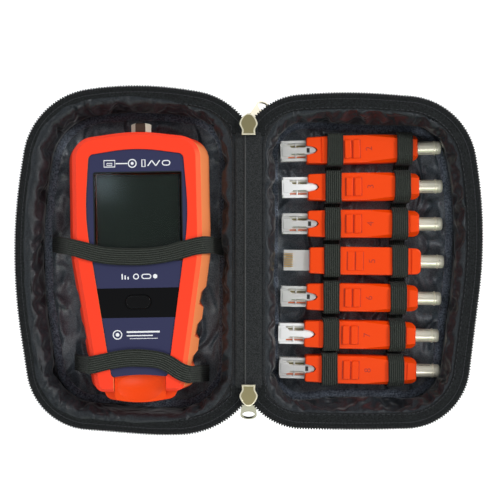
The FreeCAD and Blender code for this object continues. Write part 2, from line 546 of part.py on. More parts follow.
def docked_remote():
    block = dock_block(0, 0)
    block = block.cut(thumb_scoop())
    block = block.cut(box(-PLUG_W / 2, PLUG_W / 2, DOCK_FACE - 5, DOCK_FACE + 1,
                          DOCK_JACK_Z - PLUG_H / 2, DOCK_JACK_Z + PLUG_H / 2))
    save("docked_remote_casing", in_tester(block))
    plug = box(-PLUG_W / 2, PLUG_W / 2, DOCK_FACE - 5, DOCK_FACE + 11.5,
               DOCK_JACK_Z - PLUG_H / 2, DOCK_JACK_Z + PLUG_H / 2)
    save("docked_remote_plug", in_tester(plug))


# ---- numbered remotes

def remote_plan():
    half, wide, left, right = BODY_HALF, BODY_WIDE, PLUG_END_HALF, COAX_END_HALF
    return [(half, right, 3), (14, wide, 60), (-14, wide, 60), (-half, left, 1.2),
            (-half, -left, 1.2), (-14, -wide, 60), (14, -wide, 60), (half, -right, 3)]


def facet_block(side):
    """What lies outside the sloping facet on one side."""
    start, far, low = [V(x, side * y, z) for x, y, z in FACET]
    along, down = far - start, low - far
    corners = [start - along * 0.2 - down, start + along * 1.2 - down, start + along * 1.2 + down * 2,
               start - along * 0.2 + down * 2]
    out = along.cross(down).normalize() * side * 10
    return Part.Face(Part.makePolygon(corners + corners[:1])).extrude(out)


def remote_casing():
    body = prism(remote_plan(), BODY_LOW, BODY_TOP)
    rims = [e for e in body.Edges if e.BoundBox.ZLength < 0.01]
    body = body.makeFillet(0.9, rims)
    middle = (BODY_LOW + BODY_TOP) / 2
    for z in (BODY_TOP - 0.6, BODY_LOW - 0.4):
        body = body.cut(box(-23.4, -22.6, -9, 9, z, z + 1))
        body = body.cut(box(25.6, 26.4, -9, 9, z, z + 1))
    notch = [V(-BODY_HALF - 1, 3, middle), V(-BODY_HALF - 1, -3, middle), V(-BODY_HALF + 5, -1.6, middle),
             V(-BODY_HALF + 6.3, 0, middle), V(-BODY_HALF + 5, 1.6, middle)]
    body = body.cut(Part.Face(Part.makePolygon(notch + notch[:1])).extrude(V(0, 0, 20)))
    for side in (1, -1):
        body = body.cut(facet_block(side))
    for x0, x1 in GRIP_RIDGES:
        ridge = prism([(x1, 5.4, 1.9), (x0, 5.4, 1.9), (x0, -5.4, 1.9), (x1, -5.4, 1.9)],
                      BODY_TOP - 0.5, BODY_TOP + RIDGE_RISE)
        body = body.fuse(ridge)
    body = body.cut(box(-BODY_HALF - 1, -BODY_HALF + PLUG_IN, -PLUG_W / 2, PLUG_W / 2,
                        middle - PLUG_H / 2, middle + PLUG_H / 2))
    body = body.cut(Part.makeCylinder(BARREL_R, BARREL_IN + 1, V(BODY_HALF - BARREL_IN, 0, middle), V(1, 0, 0)))
    body = body.cut(box(-BODY_HALF + PLUG_IN + BODY_WALL, BODY_HALF - BARREL_IN - BODY_WALL,
                        -COAX_END_HALF + BODY_WALL, COAX_END_HALF - BODY_WALL, BODY_LOW + BODY_WALL, BODY_TOP - BODY_WALL))
    lower = body.common(box(-50, 50, -20, 20, 0, BODY_SPLIT))
    upper = body.common(box(-50, 50, -20, 20, BODY_SPLIT, 30))
    return [lower.removeSplitter(), upper.removeSplitter()]


def remote_barrel():
    middle = (BODY_LOW + BODY_TOP) / 2
    start, end = BODY_HALF - BARREL_IN, BODY_HALF + BARREL_OUT
    barrel = Part.makeCylinder(BARREL_R, end - start, V(start, 0, middle), V(1, 0, 0))
    barrel = barrel.fuse(Part.makeCylinder(BARREL_RING_R, 0.8, V(end - 4.0, 0, middle), V(1, 0, 0)))
    barrel = barrel.cut(Part.makeCylinder(BARREL_BORE_R, 9, V(end - 8, 0, middle), V(1, 0, 0)))
    contact = Part.makeCylinder(0.5, 8, V(end - 9, 0, middle), V(1, 0, 0))
    return barrel.fuse(contact).removeSplitter()


def remote_plug():
    middle = (BODY_LOW + BODY_TOP) / 2
    plug = network_plug(PLUG_OUT + PLUG_IN)
    plug.translate(V(-BODY_HALF + PLUG_IN, 0, middle))
    return plug.cut(box(-BODY_HALF + 0.01, 0, -10, 10, middle + PLUG_H / 2, 40))


def place_remote(shape, x, y, turn, flipped):
    placed = shape.copy()
    if flipped:
        placed.rotate(V(0, 0, (BODY_LOW + BODY_TOP) / 2), V(1, 0, 0), 180)
        placed.translate(V(0, 0, RIDGE_RISE))
    placed.rotate(V(0, 0, 0), UP, turn)
    placed.translate(V(x, y, 0))
    return placed


def remotes():
    casing, plug, barrel = remote_casing(), remote_plug(), remote_barrel()
    for number, x, y, turn, flipped in REMOTES:
        name = "remote_%d_" % number
        save(name + "casing", *[place_remote(s, x, y, turn, flipped) for s in casing])
        save(name + "network_plug", place_remote(plug, x, y, turn, flipped))
        save(name + "coax_barrel", place_remote(barrel, x, y, turn, flipped))


def main():
    os.makedirs("parts", exist_ok=True)
    for side in ("left", "right"):
        case_half(side)
    for end, swing, tilt in (("top", PULL_TOP_SWING, PULL_TOP_TILT), ("bottom", PULL_BOTTOM_SWING, PULL_BOTTOM_TILT)):
        save("zip_slider_" + end, at_slider(zip_slider(), end))
        save("zip_pull_" + end, at_slider(zip_pull(swing, tilt), end))
    save("tester_strap_upper", strap(UPPER_STRAP))
    save("tester_strap_lower", strap(LOWER_STRAP))
    for place, x, lean in zip(("inner", "outer"), LOOP_X, LOOP_LEAN):
        save("remote_loops_" + place, loop_band(x, lean))
    save("tester_rubber_boot", in_tester(tester_boot()))
    tester_housings()
    tester_face()
    tester_insides()
    docked_remote()
    remotes()


main()
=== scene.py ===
import json
from math import cos, exp, hypot, pi, radians, sin, sqrt, tan

import bmesh
import bpy
import numpy as np
from mathutils import Matrix, Vector, noise


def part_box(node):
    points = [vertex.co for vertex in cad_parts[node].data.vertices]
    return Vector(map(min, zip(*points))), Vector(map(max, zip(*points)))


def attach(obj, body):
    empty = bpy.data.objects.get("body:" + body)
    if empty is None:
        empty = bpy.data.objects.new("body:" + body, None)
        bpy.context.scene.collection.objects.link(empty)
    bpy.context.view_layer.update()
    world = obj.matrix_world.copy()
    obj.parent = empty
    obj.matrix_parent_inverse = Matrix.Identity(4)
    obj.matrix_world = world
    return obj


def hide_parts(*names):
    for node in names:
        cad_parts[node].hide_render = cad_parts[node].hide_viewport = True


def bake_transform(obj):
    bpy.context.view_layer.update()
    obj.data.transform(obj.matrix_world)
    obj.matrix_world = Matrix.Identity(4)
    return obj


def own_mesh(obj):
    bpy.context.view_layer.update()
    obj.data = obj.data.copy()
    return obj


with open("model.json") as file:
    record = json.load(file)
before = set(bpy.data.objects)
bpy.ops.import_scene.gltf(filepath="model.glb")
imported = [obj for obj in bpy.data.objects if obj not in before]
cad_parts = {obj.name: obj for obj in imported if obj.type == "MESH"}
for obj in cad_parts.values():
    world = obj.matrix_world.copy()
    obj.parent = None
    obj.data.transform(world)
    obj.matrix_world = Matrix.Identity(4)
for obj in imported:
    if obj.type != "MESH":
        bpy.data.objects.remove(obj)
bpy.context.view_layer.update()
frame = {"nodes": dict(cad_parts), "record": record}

MM = 0.001
NODES = frame["nodes"]
LOOKS = {}
UP, ALONG_X = Vector((0, 0, 1)), Vector((1, 0, 0))

# --- materials


def linear(r, g, b):
    """Colour as seen on screen, 0 to 255, as the linear values a shader takes."""
    out = []
    for c in (r, g, b):
        c /= 255
        out.append(c / 12.92 if c <= 0.04045 else ((c + 0.055) / 1.055) ** 2.4)
    return (*out, 1.0)


def material(name, colour, roughness, metallic=0.0, **sockets):
    """Plain material, kept in LOOKS. The colour is as seen on screen, or linear if it has an alpha."""
    m = bpy.data.materials.new(name)
    m.use_nodes = True
    LOOKS[name] = m
    base = colour if len(colour) == 4 else linear(*colour)
    values = {"Base_Color": base, "Roughness": roughness, "Metallic": metallic, **sockets}
    for socket, value in values.items():
        m.node_tree.nodes["Principled BSDF"].inputs[socket.replace("_", " ")].default_value = value
    return m


def node(m, kind, **values):
    n = m.node_tree.nodes.new(kind)
    for key, value in values.items():
        if key in n.inputs:
            n.inputs[key].default_value = value
        else:
            setattr(n, key, value)
    return n


def place(m, texture, stretch=(1, 1, 1), turn=0.0):
    """Feeds a texture with object coordinates, turned and stretched."""
    at = node(m, "ShaderNodeTexCoord")
    mapping = node(m, "ShaderNodeMapping")
    mapping.inputs["Scale"].default_value = stretch
    mapping.inputs["Rotation"].default_value = (0, 0, turn)
    m.node_tree.links.new(at.outputs["Object"], mapping.inputs["Vector"])
    m.node_tree.links.new(mapping.outputs["Vector"], texture.inputs["Vector"])
    return texture


def bump(m, heights, distance):
    """Adds a bump from (texture output, weight) pairs."""
    tree = m.node_tree
    b = node(m, "ShaderNodeBump", Strength=1.0, Distance=distance)
    total = None
    for out, weight in heights:
        added = node(m, "ShaderNodeMath", operation="MULTIPLY_ADD")
        added.inputs[1].default_value, added.inputs[2].default_value = weight, 0.0
        tree.links.new(out, added.inputs[0])
        if total:
            tree.links.new(total, added.inputs[2])
        total = added.outputs[0]
    tree.links.new(total, b.inputs["Height"])
    tree.links.new(b.outputs["Normal"], tree.nodes["Principled BSDF"].inputs["Normal"])


def mottle(m, texture_out, dark, light, low=0.35, high=0.65):
    """Colours a material from dark to light by a texture."""
    ramp = node(m, "ShaderNodeValToRGB")
    ramp.color_ramp.elements[0].position = low
    ramp.color_ramp.elements[0].color = dark
    ramp.color_ramp.elements[1].position = high
    ramp.color_ramp.elements[1].color = light
    m.node_tree.links.new(texture_out, ramp.inputs["Fac"])
    m.node_tree.links.new(ramp.outputs["Color"], m.node_tree.nodes["Principled BSDF"].inputs["Base Color"])


def noise_texture(m, scale, detail):
    return place(m, node(m, "ShaderNodeTexNoise", Scale=scale, Detail=detail)).outputs["Fac"]


def wave_texture(m, scale, direction, turn):
    wave = node(m, "ShaderNodeTexWave", Scale=scale)
    wave.bands_direction = direction
    return place(m, wave, turn=turn).outputs["Fac"]


def fabric(name, dark, light, roughness, weave, speckle, sheen=0.25, fuzz=0.12, turn=0.0, gloss=0.15,
           creases=0.0):
    """Cloth of crossed threads with lighter fibres. weave and speckle are texture scales, fuzz and creases
    the depths in millimetres of the threads and of small creases."""
    m = material(name, light, roughness, Sheen_Weight=sheen, Sheen_Roughness=0.4, Specular_IOR_Level=gloss)
    mottle(m, noise_texture(m, speckle, 3.0), linear(*dark), linear(*light))
    heights = [(wave_texture(m, weave, direction, turn), 0.5) for direction in "XY"]
    heights.append((noise_texture(m, speckle * 0.6, 2.0), 1.2))
    if creases:
        folds = node(m, "ShaderNodeTexNoise", Scale=75, Detail=2.5, Distortion=1.4,
                     noise_type="RIDGED_MULTIFRACTAL")
        heights.append((place(m, folds, (1.0, 0.55, 0.8), 0.5).outputs["Fac"], creases / fuzz))
    bump(m, heights, fuzz * MM)
    return m


def lit_side(m, plain, pale):
    """Paints light on the faces turned towards +X, in the object's own frame: fades a colour to a paler one
    there, a painted highlight as if lit from that side.
    """
    at = node(m, "ShaderNodeTexCoord")
    split = node(m, "ShaderNodeSeparateXYZ")
    m.node_tree.links.new(at.outputs["Normal"], split.inputs[0])
    mottle(m, split.outputs["X"], linear(*plain), linear(*pale), 0.62, 0.86)


SATIN = fabric("lining_satin", (16, 19, 22), (36, 42, 47), 0.38, 900, 1500, 0.1, 0.04, gloss=0.3, creases=3.5)
# the base's satin is a much paler copy of the wall satin: painted light standing in for the light that the
# tray's walls keep out
BASE_SATIN_PAINTED_LIGHT = fabric("base_satin_painted_light", (54, 60, 66), (92, 101, 109), 0.34, 900, 1500, 0.1, 0.04, gloss=0.55,
                    creases=6.0)
CLOTH = fabric("case_cloth", (22, 24, 26), (44, 46, 48), 0.7, 500, 1400, fuzz=0.25)
BINDING = fabric("binding_cloth", (50, 56, 66), (108, 117, 130), 0.85, 420, 1100, 0.4, 0.3)
TAPE = fabric("zip_tape", (12, 14, 15), (34, 37, 38), 0.75, 620, 1500, 0.1, 0.2, turn=0.785)
SPINE = fabric("spine_cloth", (26, 28, 29), (52, 54, 55), 0.8, 700, 1800, 0.1)
# a paler copy of the spine cloth for the crease's crest: a painted highlight
SPINE_CREASE_HIGHLIGHT = fabric("spine_crease_painted_highlight", (62, 64, 64), (86, 88, 88), 0.75, 700, 1800, 0.1)
ELASTIC = fabric("elastic", (24, 27, 24), (46, 50, 45), 0.8, 1100, 1600, 0.1, 0.1)
RIB = material("elastic_rib", (72, 77, 70), 0.8)
DARK_THREAD = material("dark_thread", (50, 52, 56), 0.8)
COIL = material("zip_coil", (14, 16, 18), 0.5, Specular_IOR_Level=0.25)
PALE_RIM = material("slider_rim", (238, 232, 205), 0.3, 0.6)
GREY_PULL = material("grey_pull", (150, 149, 130), 0.3, 0.85)
BUTTON = material("button_rubber", (5, 5, 6), 0.28, Specular_IOR_Level=0.3)
BARREL = material("barrel_nickel", (238, 234, 214), 0.3, 0.4)
HEX_METAL = material("nickel_bright", (240, 234, 212), 0.38, 0.25)
# a darker copy of the nickel for one facet of the coax jack's hex end: a painted dark reflection
HEX_PAINTED_SHADE = material("nickel_painted_shade", (84, 66, 54), 0.35, 0.6)
REMOTE = material("remote_plastic", (232, 66, 0), 0.42, Specular_IOR_Level=0.22)
# shared by the raised digits and by the painted shade strips of the grooves
DIGIT_AND_GROOVE_SHADE = material("remote_digit_and_painted_shade", (176, 40, 6), 0.5)
CLEAR = material("plug_clear", (250, 250, 248), 0.06, Transmission_Weight=0.48, IOR=1.5)
BRIGHT = material("plug_bright", (255, 255, 255), 0.12, Transmission_Weight=0.1, IOR=1.56)
GOLD = material("contact_gold", (226, 186, 104), 0.3, 0.8)
PRINT = material("face_print", (232, 233, 236), 0.6)
# black for the screen's edge and mask, and painted shade for the latch recess and the barrel slits
BLACK_AND_SHADE = material("black_and_painted_shade", (14, 13, 12), 0.7)
WIRES = [material(f"wire_{k}", colour, 0.5) for k, colour in enumerate([
    (214, 108, 60), (230, 214, 200), (92, 138, 88), (218, 222, 208),
    (196, 92, 70), (222, 210, 190), (120, 112, 60), (206, 204, 190)])]
# these are worn by CAD parts only, which find them by their slot
material("slider_brass", (156, 147, 108), 0.38, 0.75)
material("pull_metal", (226, 219, 198), 0.34, 0.7)
material("housing_plastic", (238, 92, 50), 0.45)
material("face_film", (50, 52, 82), 0.5, Specular_IOR_Level=0.12)
material("strip_film", (7, 7, 9), 0.5, Specular_IOR_Level=0.1)
material("lcd", (36, 44, 38), 0.3)
material("window_glass", (225, 235, 232), 0.09, Transmission_Weight=1.0, IOR=1.45)
material("board", (24, 96, 52), 0.5)
material("battery_can", (64, 66, 70), 0.45)
material("jack_black", (24, 24, 26), 0.5)
material("nickel", (226, 222, 205), 0.2, 1.0)
material("screw_steel", (180, 180, 182), 0.35, 1.0)
RUBBER_RED = (248, 60, 28)
# the boot's side wall towards +X is painted paler: a painted highlight standing in for light from that side
lit_side(material("boot_rubber", RUBBER_RED, 0.5, Specular_IOR_Level=0.25), RUBBER_RED, (255, 148, 90))

for part in frame["record"]["subparts"]:
    mesh = NODES[part["node"]].data
    mesh.materials.clear()
    mesh.materials.append(LOOKS[part["material_slot"]])

# --- mesh helpers


def linked(name, data):
    """New object of the scene, holding a mesh, curve, light or camera."""
    obj = bpy.data.objects.new(name, data)
    bpy.context.scene.collection.objects.link(obj)
    return obj


def mesh_piece(name, verts, faces, look, body, slot, smooth=True):
    """New mesh piece from coordinates in millimetres, riding on a body."""
    mesh = bpy.data.meshes.new(name)
    mesh.from_pydata([tuple(c * MM for c in v) for v in verts], [], faces)
    mesh.update()
    mesh.materials.append(look)
    obj = linked(name, mesh)
    if smooth:
        mesh.polygons.foreach_set("use_smooth", [True] * len(mesh.polygons))
    bm = bmesh.new()
    bm.from_mesh(mesh)
    bmesh.ops.recalc_face_normals(bm, faces=bm.faces)
    bm.to_mesh(mesh)
    bm.free()
    if body:
        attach(obj, body)
    return obj


def soften(obj, width, segments=2, angle=35):
    """Rounds a piece's edges with a modifier."""
    m = obj.modifiers.new("round", "BEVEL")
    m.width = width * MM
    m.segments = segments
    m.limit_method = "ANGLE"
    m.angle_limit = radians(angle)
    m.harden_normals = True


def grid_faces(rows, columns, close_rows=False, close_columns=False, first=0):
    """Quads over vertices laid row by row."""
    faces = []
    for i in range(rows if close_rows else rows - 1):
        here, after = first + i * columns, first + (i + 1) % rows * columns
        for j in range(columns if close_columns else columns - 1):
            k = (j + 1) % columns
            faces.append((here + j, here + k, after + k, after + j))
    return faces


def end_caps(total, count):
    """The first and last ring of a tube's vertices, as faces."""
    return [tuple(range(count)), tuple(range(total - count, total))[::-1]]


def prism(points, z0, z1):
    """Vertices and faces of an upright prism over (x, y) points; z1 may be a function of x."""
    n = len(points)
    high = z1 if callable(z1) else (lambda x: z1)
    verts = [Vector((x, y, z0)) for x, y in points] + [Vector((x, y, high(x))) for x, y in points]
    faces = [tuple(range(n))[::-1], tuple(range(n, 2 * n))]
    return verts, faces + [(k, (k + 1) % n, n + (k + 1) % n, n + k) for k in range(n)]


def bars(items, narrowing=0.72):
    """Vertices and faces of many small six-sided bars, each (centre, along, across, up, half sizes)."""
    verts, faces = [], []
    quads = [(0, 1, 3, 2), (4, 6, 7, 5), (0, 4, 5, 1), (2, 3, 7, 6), (0, 2, 6, 4), (1, 5, 7, 3)]
    for centre, along, across, up, (a, b, c) in items:
        first = len(verts)
        for i in (-1, 1):
            for j in (-1, 1):
                for k in (-1, 1):
                    taper = narrowing if k > 0 else 1.0
                    verts.append(centre + along * (i * a * taper) + across * (j * b * taper) + up * (k * c))
        faces += [tuple(first + q for q in quad) for quad in quads]
    return verts, faces


# --- case outlines, in millimetres

RIM_Z, TAPE_LOW, TAPE_HIGH, PANEL_TOP = 33.0, 31.7, 32.5, 4.0
COIL_WIDTH, TAPE_INSET, WALL_OUT, WALL_IN, LINED, BOUND = 2.0, 9.0, 5.5, 8.0, 11.0, 16.0
ZIP_START, TOOTH_PITCH = 68.2, 1.5
BOW_DEPTH, BOW_MIDDLE, BOW_HALF, BOW_FROM, NEAR_FOLD = 3.0, 64, 44, 60, 32
TESTER_X, TESTER_Y, TESTER_TURN = -60.2, -4.0, 1.0
DOCK_REACH, DOCK_FROM = 24, -60
LEFT_SIDES = [(-60, 98.3, 180), (-119, 89.7, 42), (-132.5, 5.5, 300), (-117.8, -91.3, 36), (-50, -96.6, 200)]
RIGHT_SIDES = [(60, -93.6, 700), (118, -92.3, 36), (131.6, 17, 255), (120.7, 88, 40), (55, 93.15, 280)]
SPINE_CORNERS = {
    "left": ([(-1.1, 76.8, 9), (-15.2, 90.9, 40)], [(-19, -95.9, 48), (-1.1, -78.0, 9)]),
    "right": ([(1.1, -78.5, 9), (15.2, -92.6, 35)], [(14.6, 90.3, 36), (1.1, 76.8, 9)]),
}
TRAY_CORNERS = {
    "left": [(-1.1, -95.3, 38), (-1.1, 88.7, 34)] + LEFT_SIDES,
    "right": [(1.1, 89.3, 32), (1.1, -92.3, 31)] + RIGHT_SIDES,
}
ZIP_CORNERS = {
    "left": SPINE_CORNERS["left"][0] + LEFT_SIDES + SPINE_CORNERS["left"][1],
    "right": SPINE_CORNERS["right"][0] + RIGHT_SIDES + SPINE_CORNERS["right"][1],
}


class Outline:
    """Closed outline with rounded corners, walked at an even pitch, with its inward normals."""

    def __init__(self, corners, pitch):
        fine = []
        points = [Vector((x, y)) for x, y, _ in corners]
        for i, here in enumerate(points):
            radius = corners[i][2]
            back = (points[i - 1] - here).normalized()
            ahead = (points[(i + 1) % len(points)] - here).normalized()
            half = back.angle(ahead) / 2
            middle = (back + ahead).normalized()
            centre = here + middle * (radius / sin(half))
            start = here + back * (radius / tan(half)) - centre
            sweep = (here + ahead * (radius / tan(half)) - centre).angle_signed(start)
            steps = max(3, int(abs(sweep) * radius / 0.5))
            for k in range(steps + 1):
                a = sweep * k / steps
                fine.append(centre + Matrix.Rotation(a, 2) @ start)
        fine.append(fine[0].copy())
        fine = np.array([tuple(p) for p in fine])
        gaps = np.hypot(*np.diff(fine, axis=0).T)
        along = np.concatenate([[0], np.cumsum(gaps)])
        self.length = along[-1]
        self.n = max(8, round(self.length / pitch))
        at = np.arange(self.n) * self.length / self.n
        self.p = np.stack([np.interp(at, along, fine[:, 0]), np.interp(at, along, fine[:, 1])], 1)
        tangent = np.roll(self.p, -1, 0) - np.roll(self.p, 1, 0)
        tangent /= np.hypot(*tangent.T)[:, None]
        self.normal = np.stack([-tangent[:, 1], tangent[:, 0]], 1)
        self.tangent = tangent

    def at(self, i, inset, z):
        p = self.p[i % self.n] + self.normal[i % self.n] * inset
        return Vector((p[0], p[1], z))

    def t(self, i):
        return Vector((*self.tangent[i % self.n], 0))

    def inward(self, i):
        return Vector((*self.normal[i % self.n], 0))


def on_zip(p):
    """Whether the zip's strips reach this point: everywhere but along the spine."""
    return abs(p.y) > ZIP_START or abs(p.x) > TAPE_INSET + 4


def open_run(outline):
    """Indices of the outline's one run that the zip covers, in order."""
    keep = [on_zip(outline.at(i, COIL_WIDTH / 2, 0)) for i in range(outline.n)]
    starts = [i for i in range(outline.n) if keep[i] and not keep[i - 1]]
    runs = []
    for s in starts:
        run = []
        while keep[(s + len(run)) % outline.n] and len(run) < outline.n:
            run.append(s + len(run))
        runs.append(run)
    return max(runs, key=len)


def swept(outline, indices, section):
    """Vertices and faces of a strip whose cross-section is (inset, z) pairs, or a function of the index."""
    verts = []
    for i in indices:
        profile = section(i) if callable(section) else section
        verts += [outline.at(i, u, z) for u, z in profile]
    whole = len(indices) == outline.n
    faces = grid_faces(len(indices), len(profile), close_rows=whole, close_columns=True)
    return verts, faces if whole else faces + end_caps(len(verts), len(profile))


def bow(side, p):
    """How far the binding sags inwards along the two short sides of the right half."""
    if side == "left" or abs(p[1]) <= BOW_FROM or abs(p[0] - BOW_MIDDLE) >= BOW_HALF:
        return 0.0
    return BOW_DEPTH * max(0.0, cos((p[0] - BOW_MIDDLE) / BOW_HALF * pi / 2)) ** 1.3


# --- soft simulation

SIM_FRAMES, SIM_SCALE, SIM_STIFFNESS, SIM_BENDING = 22, 10.0, 12.0, 1.0


def relaxed(obj, pinned, growth, pressure):
    """Lets a sheet with spare cloth buckle between its pins, and gives its coordinates in millimetres."""
    scene = bpy.context.scene
    group = obj.vertex_groups.new(name="pin")
    group.add(pinned, 1.0, "REPLACE")
    obj.data.transform(Matrix.Scale(SIM_SCALE, 4))
    cloth = obj.modifiers.new("cloth", "CLOTH")
    s = cloth.settings
    s.quality = 6
    s.mass = 0.2
    s.air_damping = 4.0
    s.tension_stiffness = s.compression_stiffness = SIM_STIFFNESS
    s.shear_stiffness = SIM_STIFFNESS * 0.5
    s.bending_stiffness = SIM_BENDING
    s.vertex_group_mass = "pin"
    s.shrink_min = -growth
    s.use_pressure = True
    s.uniform_pressure_force = pressure
    s.effector_weights.gravity = 0
    cloth.collision_settings.use_collision = False
    cloth.point_cache.frame_start, cloth.point_cache.frame_end = 1, SIM_FRAMES
    scene.frame_start, scene.frame_end = 1, SIM_FRAMES
    for f in range(1, SIM_FRAMES + 1):
        scene.frame_set(f)
    result = obj.evaluated_get(bpy.context.evaluated_depsgraph_get())
    co = np.empty(len(result.data.vertices) * 3)
    result.data.vertices.foreach_get("co", co)
    obj.modifiers.remove(cloth)
    scene.frame_set(1)
    obj.data.transform(Matrix.Scale(1 / SIM_SCALE, 4))
    obj.vertex_groups.clear()
    return co.reshape(-1, 3) / SIM_SCALE / MM


def set_coordinates(obj, co):
    obj.data.vertices.foreach_set("co", (np.asarray(co) * MM).ravel())
    obj.data.update()


def subdivided(obj):
    m = obj.modifiers.new("smooth", "SUBSURF")
    m.levels = m.render_levels = 1
    return obj


def ripple(x, y, z, size, seed):
    return noise.noise(Vector((x / size + seed, y / size - seed, z / size)))


def ridge(x, y, z, size, seed, sharp=2.2):
    """Folds as sharp-crested noise, from 0 in the valleys to 1 on the crests."""
    return max(0.0, 1 - sharp * abs(ripple(x, y, z, size, seed))) ** 1.5


# --- case halves

BASE_INSET, BASE_COVER_TOP = 19.0, 2.4
STITCH = (0.8, 0.16, 0.14)  # half length, half width and half height of a stitch


def build_shell(side, body):
    """Padded outer wall and base, with a welt along the base edge and stitching below the rim."""
    outline = Outline(TRAY_CORNERS[side], 2.0)

    def section(i):
        p = outline.p[i]
        puff = 0.35 * ripple(p[0], p[1], 0, 23, 3.1)
        out = [(WALL_IN, TAPE_LOW - 0.1), (WALL_OUT + 0.4, TAPE_LOW - 0.05), (WALL_OUT, TAPE_LOW - 0.5),
               (WALL_OUT + 0.1, 29.6), (WALL_OUT - 0.15 - puff, 26), (WALL_OUT - 0.2 - puff, 20),
               (WALL_OUT - 0.1 - puff, 14), (WALL_OUT + 0.15, 9.0), (WALL_OUT + 0.5, 7.4)]
        for k in range(1, 7):
            a = radians(15 * k)
            out.append((WALL_OUT + 0.5 + 6.9 * (1 - cos(a)), 7.2 - 7.2 * sin(a) + 0.02))
        out += [(16, 0.0), (20, 0.0), (22, 1.2), (WALL_IN + 4, 2.4), (WALL_IN + 0.6, 6), (WALL_IN, 12)]
        return out
    cover = swept(outline, range(outline.n), section)
    shell = mesh_piece(side + "_shell_cover", *cover, CLOTH, body, "case_cloth")
    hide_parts(side + "_shell")
    low = Outline(TRAY_CORNERS[side], 4.0)
    base = prism([low.at(i, BASE_INSET, 0)[:2] for i in range(low.n)], 0.0, BASE_COVER_TOP)
    mesh_piece(side + "_base_cover", *base, CLOTH, body, "case_cloth", smooth=False)
    welt = [(WALL_OUT + 1.45 + 0.85 * cos(a), 4.4 + 0.85 * sin(a))
            for a in (radians(45 * k) for k in range(8))]
    mesh_piece(side + "_welt", *swept(outline, range(outline.n), welt), BINDING, body, "binding_cloth")
    stitches(side + "_rim_stitches", outline, range(outline.n), WALL_OUT - 0.05, 28.4, body, outward=True)


def stitches(name, outline, indices, inset, z, body, outward=False, pitch=2.6):
    """A row of short thread stitches along an outline, on a flat face or on an upright wall."""
    step = max(1, round(pitch / (outline.length / outline.n)))
    items = []
    for i in list(indices)[::step]:
        inward = outline.inward(i)
        across, up = (UP, -inward) if outward else (inward, UP)
        items.append((outline.at(i, inset, z), outline.t(i), across, up, STITCH))
    mesh_piece(name, *bars(items), DARK_THREAD, body, "binding_cloth", smooth=False)


def rim_inset(side, p):
    """Where the lining's upper edge is sewn: over the tape on the left half, out of sight near the fold."""
    if abs(p[0]) < NEAR_FOLD:
        return 4.0
    if side == "right":
        return WALL_IN + 0.4
    scallop = 0.7 * ripple(p[0], p[1], 0, 9, 12.0)
    near_fold = min(1.0, max(0.0, (p[0] + 62) / 30))
    return min(8.9, 6.2 + scallop - 1.0 * min(1.0, max(0.0, (-p[0] - 95) / 25)) + 2.6 * near_fold)


def turn_over(side):
    """How far in the lining may stand above the tape."""
    return 9.8 if side == "left" else 0.0


def beside_dock(side, points):
    """1 where the docked remote slides down towards the lining, 0 elsewhere."""
    if side == "right":
        return np.zeros(len(points))
    return (np.abs(points[:, 0] - TESTER_X) < DOCK_REACH) * (points[:, 1] < DOCK_FROM)


LINING_PITCH, LINING_ROWS, SEWN_ROWS, LINING_FOOT = 1.9, 19, 3, 4.6


def build_wall_lining(side, body):
    """Loose satin on the inside of the wall, buckled between the rim and the base binding."""
    outline = Outline(TRAY_CORNERS[side], LINING_PITCH)
    n = outline.n
    verts = []
    for r in range(LINING_ROWS):
        for i in range(n):
            p = outline.p[i]
            rim = rim_inset(side, p)
            turn = 9.7 + 1.1 * ripple(p[0], p[1], 0, 7, 15.0)
            if r < SEWN_ROWS:
                t = r / SEWN_ROWS
                shown = side == "left" and p[0] < -NEAR_FOLD
                over = 0.55 + 0.4 * ripple(p[0], p[1], 0, 5, 9.0) if shown else 0.0
                low = TAPE_HIGH + 0.05 if over else TAPE_LOW
                z = low + over * sin(pi * t) - 0.5 * t * t
                verts.append(outline.at(i, rim + (turn - rim) * t, z))
                continue
            t = (r - SEWN_ROWS) / (LINING_ROWS - 1 - SEWN_ROWS)
            z = TAPE_LOW + (LINING_FOOT - TAPE_LOW) * t
            foot = LINED - 0.2 + bow(side, p)
            along = i * LINING_PITCH
            lean = 5 * ripple(along, 0, z, 21, 3.0)
            large = ridge(along + lean, 0, z * 0.45, 13, 2.0)
            small = ridge(along - lean, 0, z * 0.8, 6.5, 7.0)
            swell = sin(pi * min(1.0, 0.06 + t * 0.94)) ** 0.7
            folds = (0.3 + (2.6 * large + 1.3 * small)) * swell
            verts.append(outline.at(i, turn + (foot - turn) * t ** 2 + folds, z))
    faces = grid_faces(LINING_ROWS, n, close_columns=True)
    lining = mesh_piece(side + "_lining", verts, faces, SATIN, None, "lining_satin")
    moved = np.array([tuple(v) for v in verts])
    sewn = list(range((SEWN_ROWS + 1) * n)) + list(range((LINING_ROWS - 1) * n, LINING_ROWS * n))
    moved = relaxed(lining, sewn, growth=0.12, pressure=0.3)
    normal = np.tile(np.concatenate([outline.normal, np.zeros((n, 1))], 1), (LINING_ROWS, 1))
    base = np.tile(np.concatenate([outline.p, np.zeros((n, 1))], 1), (LINING_ROWS, 1))
    depth = ((moved - base) * normal).sum(1)
    limit_in = np.array([LINED + 0.3 + bow(side, outline.p[k % n]) for k in range(len(moved))])
    limit_in += 2.6 * np.clip((moved[:, 2] - 6) / 16, 0, 1) * (1 - beside_dock(side, moved))
    lowest = np.array([rim_inset(side, outline.p[k % n]) for k in range(len(moved))])
    wanted = np.clip(depth, lowest, limit_in)
    moved += normal * (wanted - depth)[:, None]
    highest = np.where(wanted < turn_over(side), RIM_Z - 0.05, TAPE_LOW)
    moved[:, 2] = np.clip(moved[:, 2], 4.2, highest)
    set_coordinates(lining, moved)
    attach(subdivided(lining), body)
    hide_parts(side + "_wall_lining")


